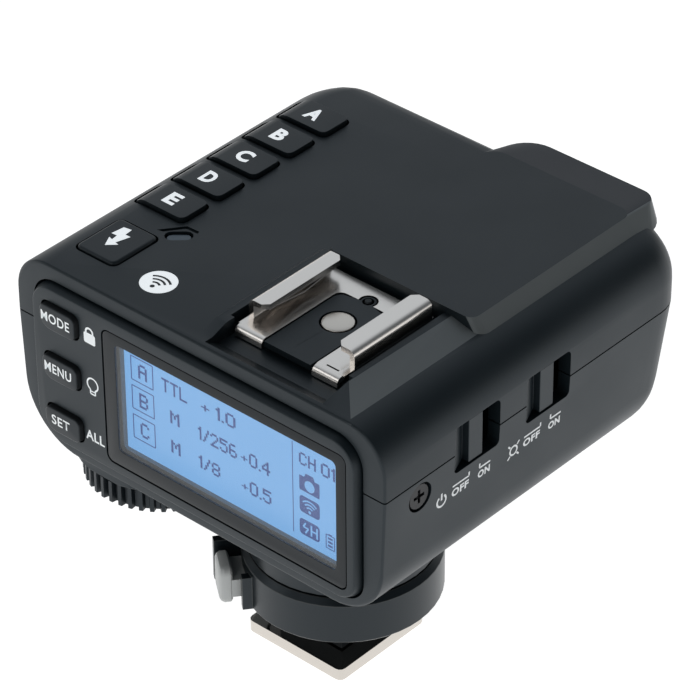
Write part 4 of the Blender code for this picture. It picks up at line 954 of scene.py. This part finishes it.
def build_shoe():
    """The folded bracket with its mouth, its trimmed lips and the rolled tabs at its rear."""
    bend = 1.15
    half, top, base = SHOE_HALF, SHOE_TOP, SHOE_BASE_BOTTOM
    inner = bend - SHOE_SHEET

    def side(sign):
        """The outside and inside of one folded lip, from its free edge down to the base."""
        outer = [(sign * LIP_GAP_HALF, top)]
        outer += [(sign * a, b) for a, b in arc(half - bend, top - bend, bend, 90, 0, 8)]
        outer += [(sign * a, b) for a, b in arc(half - bend, base + bend, bend, 0, -90, 8)]
        within = [(sign * LIP_GAP_HALF, top - SHOE_SHEET)]
        within += [(sign * a, b) for a, b in arc(half - bend, top - bend, inner, 90, 0, 4)]
        within += [(sign * a, b) for a, b in arc(half - bend, base + bend, inner, 0, -90, 4)]
        return outer, within

    left_outer, left_inner = side(-1)
    right_outer, right_inner = side(1)
    profile = left_outer + right_outer[::-1] + right_inner + left_inner[::-1]
    bracket = prism("shoe_sheet", profile, SHOE_REAR, SHOE_FRONT, "Y", NICKEL)
    wide, over_base = half + 1.95, SHOE_BASE_TOP + 0.01
    trims = [
        block("rear_trim", (-wide, SHOE_REAR - 1, over_base), (wide, LIP_REAR, ABOVE)),
        block("front_trim", (-wide, LIP_FRONT, over_base), (wide, SHOE_FRONT + 1, ABOVE)),
        block("end_trim", (-wide, SHOE_REAR - 1, 50), (wide, SHOE_REAR + 1.2, ABOVE)),
    ]
    for sign in (-1, 1):
        for y, way in ((LIP_REAR, 1), (LIP_FRONT, -1)):
            x = sign * LIP_GAP_HALF
            nip = [(x - sign * 0.1, y - way * 0.1), (x + sign * 1.0, y - way * 0.1)]
            nip += [(x - sign * 0.1, y + way * 1.0)]
            trims.append(prism("nip", nip, 57.4, ABOVE))
    mouth_left, mouth_right, mouth_front, corner = -4.5, 4.9, 4.8, 1.3
    mouth = [(mouth_left, SHOE_REAR - 1)]
    mouth += arc(mouth_left + corner, mouth_front - corner, corner, 180, 90, 6)
    mouth += arc(0.4, 5.4, 1.5, 202, -22, 14)
    mouth += arc(mouth_right - corner, mouth_front - corner, corner, 90, 0, 6)
    mouth += [(mouth_right, SHOE_REAR - 1)]
    trims.append(prism("mouth", mouth, 50, 57))
    trims.append(block("slot", (6.3, -10.6, 50), (8.6, -9.9, 57)))
    cut(bracket, *trims)
    fold = 1.05
    for left, right in ((-9.75, -4.6), (5.0, 9.75)):
        bent = [(SHOE_REAR + 1.6, SHOE_BASE_TOP), (SHOE_REAR + 1.6, SHOE_BASE_BOTTOM)]
        bent += [(SHOE_REAR + 0.62, SHOE_BASE_BOTTOM), (SHOE_REAR + 0.62, 54.15), (SHOE_REAR, 54.15)]
        bent += arc(SHOE_REAR + fold, SHOE_BASE_TOP - fold, fold, 180, 90, 6)
        join(bracket, prism("tab", bent, left, right, "X"))
    stand(soften(bracket, CHAMFER), "body", "nickel", "shoe_bracket")
    face = Face((0, 0, SHOE_BASE_TOP - 0.05), (1, 0, 0), (0, 1, 0), "body", INK, "inner_plastic")
    face.lay("insulator_slit", [bar((0.3, -4.2), (-0.1, -9.4), 0.14)])


# ---------------------------------------------------------------- pieces shaped as in the CAD

SLOTS = {
    "deck_satin": "deck_plastic",
    "side_satin": "deck_plastic",
    "key_satin": "key_plastic",
    "nickel_plate": "nickel",
    "foot_mirror": "nickel",
    "contact_plate": "nickel",
    "steel_satin": "steel",
    "screw_black": "steel",
    "gold_flash": "gold",
    "release_grey": "grey_plastic",
    "light_pipe": "light_pipe",
    "lamp_red": "lamp_window",
    "board_green": "board",
    "cell_sleeve": "cell",
}


def dress():
    """Finishes and edge rounding for the CAD nodes that show as they are."""
    coats = (
        (KEY, 0.25, "test_key"),
        (KEY, 0.12, "select_dial"),
        (KEY, 0.3, *TOP_KEY_MIDDLES),
        (DECK, 0.1, "shoe_insulator"),
        (CONTACT, 0.1, "shoe_centre_contact"),
        (NICKEL, 0.0, "shoe_spring_left", "shoe_spring_right"),
        (FOOT, 0.12, "foot_plate"),
        (COLLAR, 0.15, "collar_drum"),
        (GOLD, 0.1, "centre_pin"),
        (GOLD, 0.05, "signal_pin_1", "signal_pin_2", "signal_pin_3"),
        (SIDE, 0.1, "power_switch_knob", "lamp_switch_knob"),
        (SIDE, 0.2, "battery_door"),
        (INNER, 0.3, "foot_neck"),
        (INNER, 0.1, "power_switch_body", "lamp_switch_body"),
        (INNER, 0.05, "shoe_signal_contact", "sync_jack"),
        (LIGHT_PIPE, 0.1, "status_light_pipe", "focus_lamp"),
        (LIGHT_PIPE, 0.05, "lcd_backlight"),
        (LAMP_RED, 0.15, "lamp_window"),
        (CELL, 0.1, "battery_cell_1", "battery_cell_2"),
        (STEEL, 0.0, "contact_spring_1", "contact_spring_2", "door_hinge_pins"),
        (STEEL, 0.05, "lock_pin", "contact_plate_1", "contact_plate_2", "usb_socket"),
        (STEEL, 0.1, "dial_encoder", "radio_module"),
        (BOARD, 0.1, "main_board", "top_key_board", "rear_key_board"),
        (SCREW, 0.05, "side_screw_left", "side_screw_right"),
    )
    for coat, width, *names in coats:
        for name in names:
            refine(name, coat, width)
    # The lock ring's rounded edges take the lighter coat: a painted highlight
    refine("lock_ring", COLLAR, 0.42, COLLAR_EDGE_PAINTED_HIGHLIGHT)


def refine(name, coat, width, edge=None):
    """A CAD node's shape again, with edges rounded, perhaps in a coat of their own, and curves smooth."""
    maker = bmesh.new()
    maker.from_mesh(frame["nodes"][name].data)
    bmesh.ops.scale(maker, vec=(1 / MM,) * 3, verts=maker.verts)
    bmesh.ops.remove_doubles(maker, verts=maker.verts, dist=0.001)
    bmesh.ops.dissolve_limit(maker, angle_limit=math.radians(0.05), verts=maker.verts, edges=maker.edges)
    made = piece(f"{name}_finished", maker, None)
    if "custom_normal" in made.data.attributes:
        made.data.attributes.remove(made.data.attributes["custom_normal"])
    made.data.materials.clear()
    made.data.materials.append(coat)
    for side in made.data.polygons:
        side.material_index = 0
    if width:
        soften(made, width, 30)
    if edge:
        made.data.materials.append(edge)
        made.modifiers["edges"].material = 1
    body = frame["nodes"][name].parent.name.removeprefix("body:")
    stand(made, body, SLOTS.get(coat.name, "inner_plastic"), name)


def build_lock_release():
    """The grey lever that frees the collar, with its rounded finger face."""
    turn = math.radians(LEVER_ANGLE)
    out = Vector((math.cos(turn), math.sin(turn), 0))
    side = Vector((-out.y, out.x, 0))
    sections = []
    for reach, inset in ((17.0, 0.3), (17.3, 0.0), (18.2, 0.0), (18.7, 0.25), (18.92, 0.6), (19.0, 1.1)):
        half, low, high = LEVER_HALF - inset, LEVER_LOW + inset, LEVER_HIGH - inset
        outline = rounded(-half, half, low, high, (LEVER_RADIUS - inset * 0.6,) * 4, 6)
        sections.append([tuple(out * reach + side * a + Vector((0, 0, b))) for a, b in outline])
    lever = loft("release_lever", sections, GREY)
    near, far, half, low, high = TONGUE
    corners = [(-half, low), (half, low), (half, high), (-half, high)]
    rings = []
    for reach in (near, far):
        rings.append([tuple(out * reach + side * a + Vector((0, 0, b))) for a, b in corners])
    join(lever, loft("release_tongue", rings))
    stand(soften(lever, CHAMFER, 30), "lock_release", "grey_plastic", "lock_release")


def build_rear_keys():
    """The three keys by the screen, darker on their sides than on their faces: a painted shade on the
    sides.
    """
    for name, (low, high) in REAR_KEY_SPANS.items():
        box = (REAR_KEY_LEFT, REAR_KEY_RIGHT, low, high)
        radii = (1.1, 1.1, 1.1, 2.1)
        cap = pillow(f"{name}_cap", box, radii, REAR_KEY_BACK, REAR_KEY_FACE, 0.3, "Y", REAR_KEY)
        cap.data.materials.append(KEY_SIDE_PAINTED_SHADE)
        # Sides that do not face the rear take the painted shade
        for side in cap.data.polygons:
            side.material_index = int(side.normal.y > -0.6)
        cap.data.shade_smooth()
        cap.data.set_sharp_from_angle(angle=math.radians(35))
        stand(cap, name, "key_plastic", name)


# ---------------------------------------------------------------- stage, light and camera


def build_floor():
    """A white floor that glows enough to read as paper white."""
    floor_mesh = bpy.data.meshes.new("floor")
    corners = [(-FLOOR_REACH, -FLOOR_REACH), (FLOOR_REACH, -FLOOR_REACH)]
    corners += [(FLOOR_REACH, FLOOR_REACH), (-FLOOR_REACH, FLOOR_REACH)]
    floor_mesh.from_pydata([(x, y, FLOOR_HEIGHT) for x, y in corners], [], [(0, 1, 2, 3)])
    floor = bpy.data.objects.new("floor", floor_mesh)
    bpy.context.collection.objects.link(floor)
    made, tree, shader = shader_of("floor_white")
    slow = noise(tree, 3)
    tone = tint(tree, slow.outputs["Fac"], (0.34, 0.34, 0.34), (0.36, 0.36, 0.36))
    tree.links.new(tone, shader.inputs["Base Color"])
    shader.inputs["Roughness"].default_value = 0.9
    shader.inputs["Emission Color"].default_value = (1, 1, 1, 1)
    shader.inputs["Emission Strength"].default_value = FLOOR_GLOW
    floor_mesh.materials.append(made)


def smooth_step(tree, value, start, end):
    """A factor that rises smoothly from 0 to 1 as a value goes from start to end."""
    made = tree.nodes.new("ShaderNodeMapRange")
    made.interpolation_type = "SMOOTHSTEP"
    made.inputs["From Min"].default_value = start
    made.inputs["From Max"].default_value = end
    tree.links.new(value, made.inputs["Value"])
    return made.outputs["Result"]


def build_sky():
    """A dim studio that brightens towards one side, with a pale band along the horizon."""
    world = bpy.data.worlds.new("studio")
    world.use_nodes = True
    tree = world.node_tree
    where = tree.nodes.new("ShaderNodeTexCoord")
    facing = tree.nodes.new("ShaderNodeVectorMath")
    facing.operation = "DOT_PRODUCT"
    facing.inputs[1].default_value = tuple(Vector(BRIGHT_SKY).normalized())
    tree.links.new(where.outputs["Generated"], facing.inputs[0])
    side = smooth_step(tree, facing.outputs["Value"], 0.35, 0.95)
    sky = tint(tree, side, (0.10, 0.11, 0.12), (0.58, 0.62, 0.66))
    parts = tree.nodes.new("ShaderNodeSeparateXYZ")
    tree.links.new(where.outputs["Generated"], parts.inputs["Vector"])
    horizon = smooth_step(tree, parts.outputs["Z"], 0.34, 0.10)
    glow = tree.nodes.new("ShaderNodeMix")
    glow.data_type = "RGBA"
    glow.inputs["B"].default_value = (0.85, 0.85, 0.84, 1)
    tree.links.new(horizon, glow.inputs["Factor"])
    tree.links.new(sky, glow.inputs["A"])
    tree.links.new(glow.outputs["Result"], tree.nodes["Background"].inputs["Color"])
    bpy.context.scene.world = world


def soft_box(name, place, size, power):
    """A square light, in metres and watts, that faces the object."""
    lamp = bpy.data.lights.new(name, "AREA")
    lamp.shape = "SQUARE"
    lamp.size = size
    lamp.energy = power
    made = bpy.data.objects.new(name, lamp)
    made.location = place
    aim = Vector((0, 0.01, 0.04)) - Vector(place)
    made.rotation_euler = aim.to_track_quat("-Z", "Y").to_euler()
    bpy.context.collection.objects.link(made)


def build_camera():
    azimuth, elevation = math.radians(CAMERA_AZIMUTH), math.radians(CAMERA_ELEVATION)
    roll = math.radians(CAMERA_ROLL)
    back = Vector(
        (
            math.sin(azimuth) * math.cos(elevation),
            -math.cos(azimuth) * math.cos(elevation),
            math.sin(elevation),
        )
    )
    right = Vector((math.cos(azimuth), math.sin(azimuth), 0))
    up = back.cross(right)
    rolled_right = right * math.cos(roll) + up * math.sin(roll)
    rolled_up = up * math.cos(roll) - right * math.sin(roll)
    place = (Vector(CAMERA_AIM) + back * CAMERA_DISTANCE) * MM
    camera = bpy.data.cameras.new("camera")
    camera.sensor_width = 36
    camera.lens = CAMERA_LENS
    camera.clip_end = 20
    made = bpy.data.objects.new("camera", camera)
    bpy.context.collection.objects.link(made)
    turn = Matrix((rolled_right, rolled_up, back)).transposed()
    made.matrix_world = Matrix.Translation(place) @ turn.to_4x4()
    bpy.context.scene.camera = made


build_top_cover()
build_bottom_cover()
build_rear_panel()
build_lens()
build_display()
build_rear_keys()
build_lock_release()
build_shoe()
dress()
print_rear_marks()
print_deck_marks()
print_side_marks()
print_screen_marks()
build_floor()
build_sky()
soft_box("light_rear", (0.10, -0.75, 0.45), 0.45, 0.6)
soft_box("light_left", (-0.50, -0.55, 0.58), 0.35, 0.45)
build_camera()
bpy.context.scene.view_settings.view_transform = "Standard"
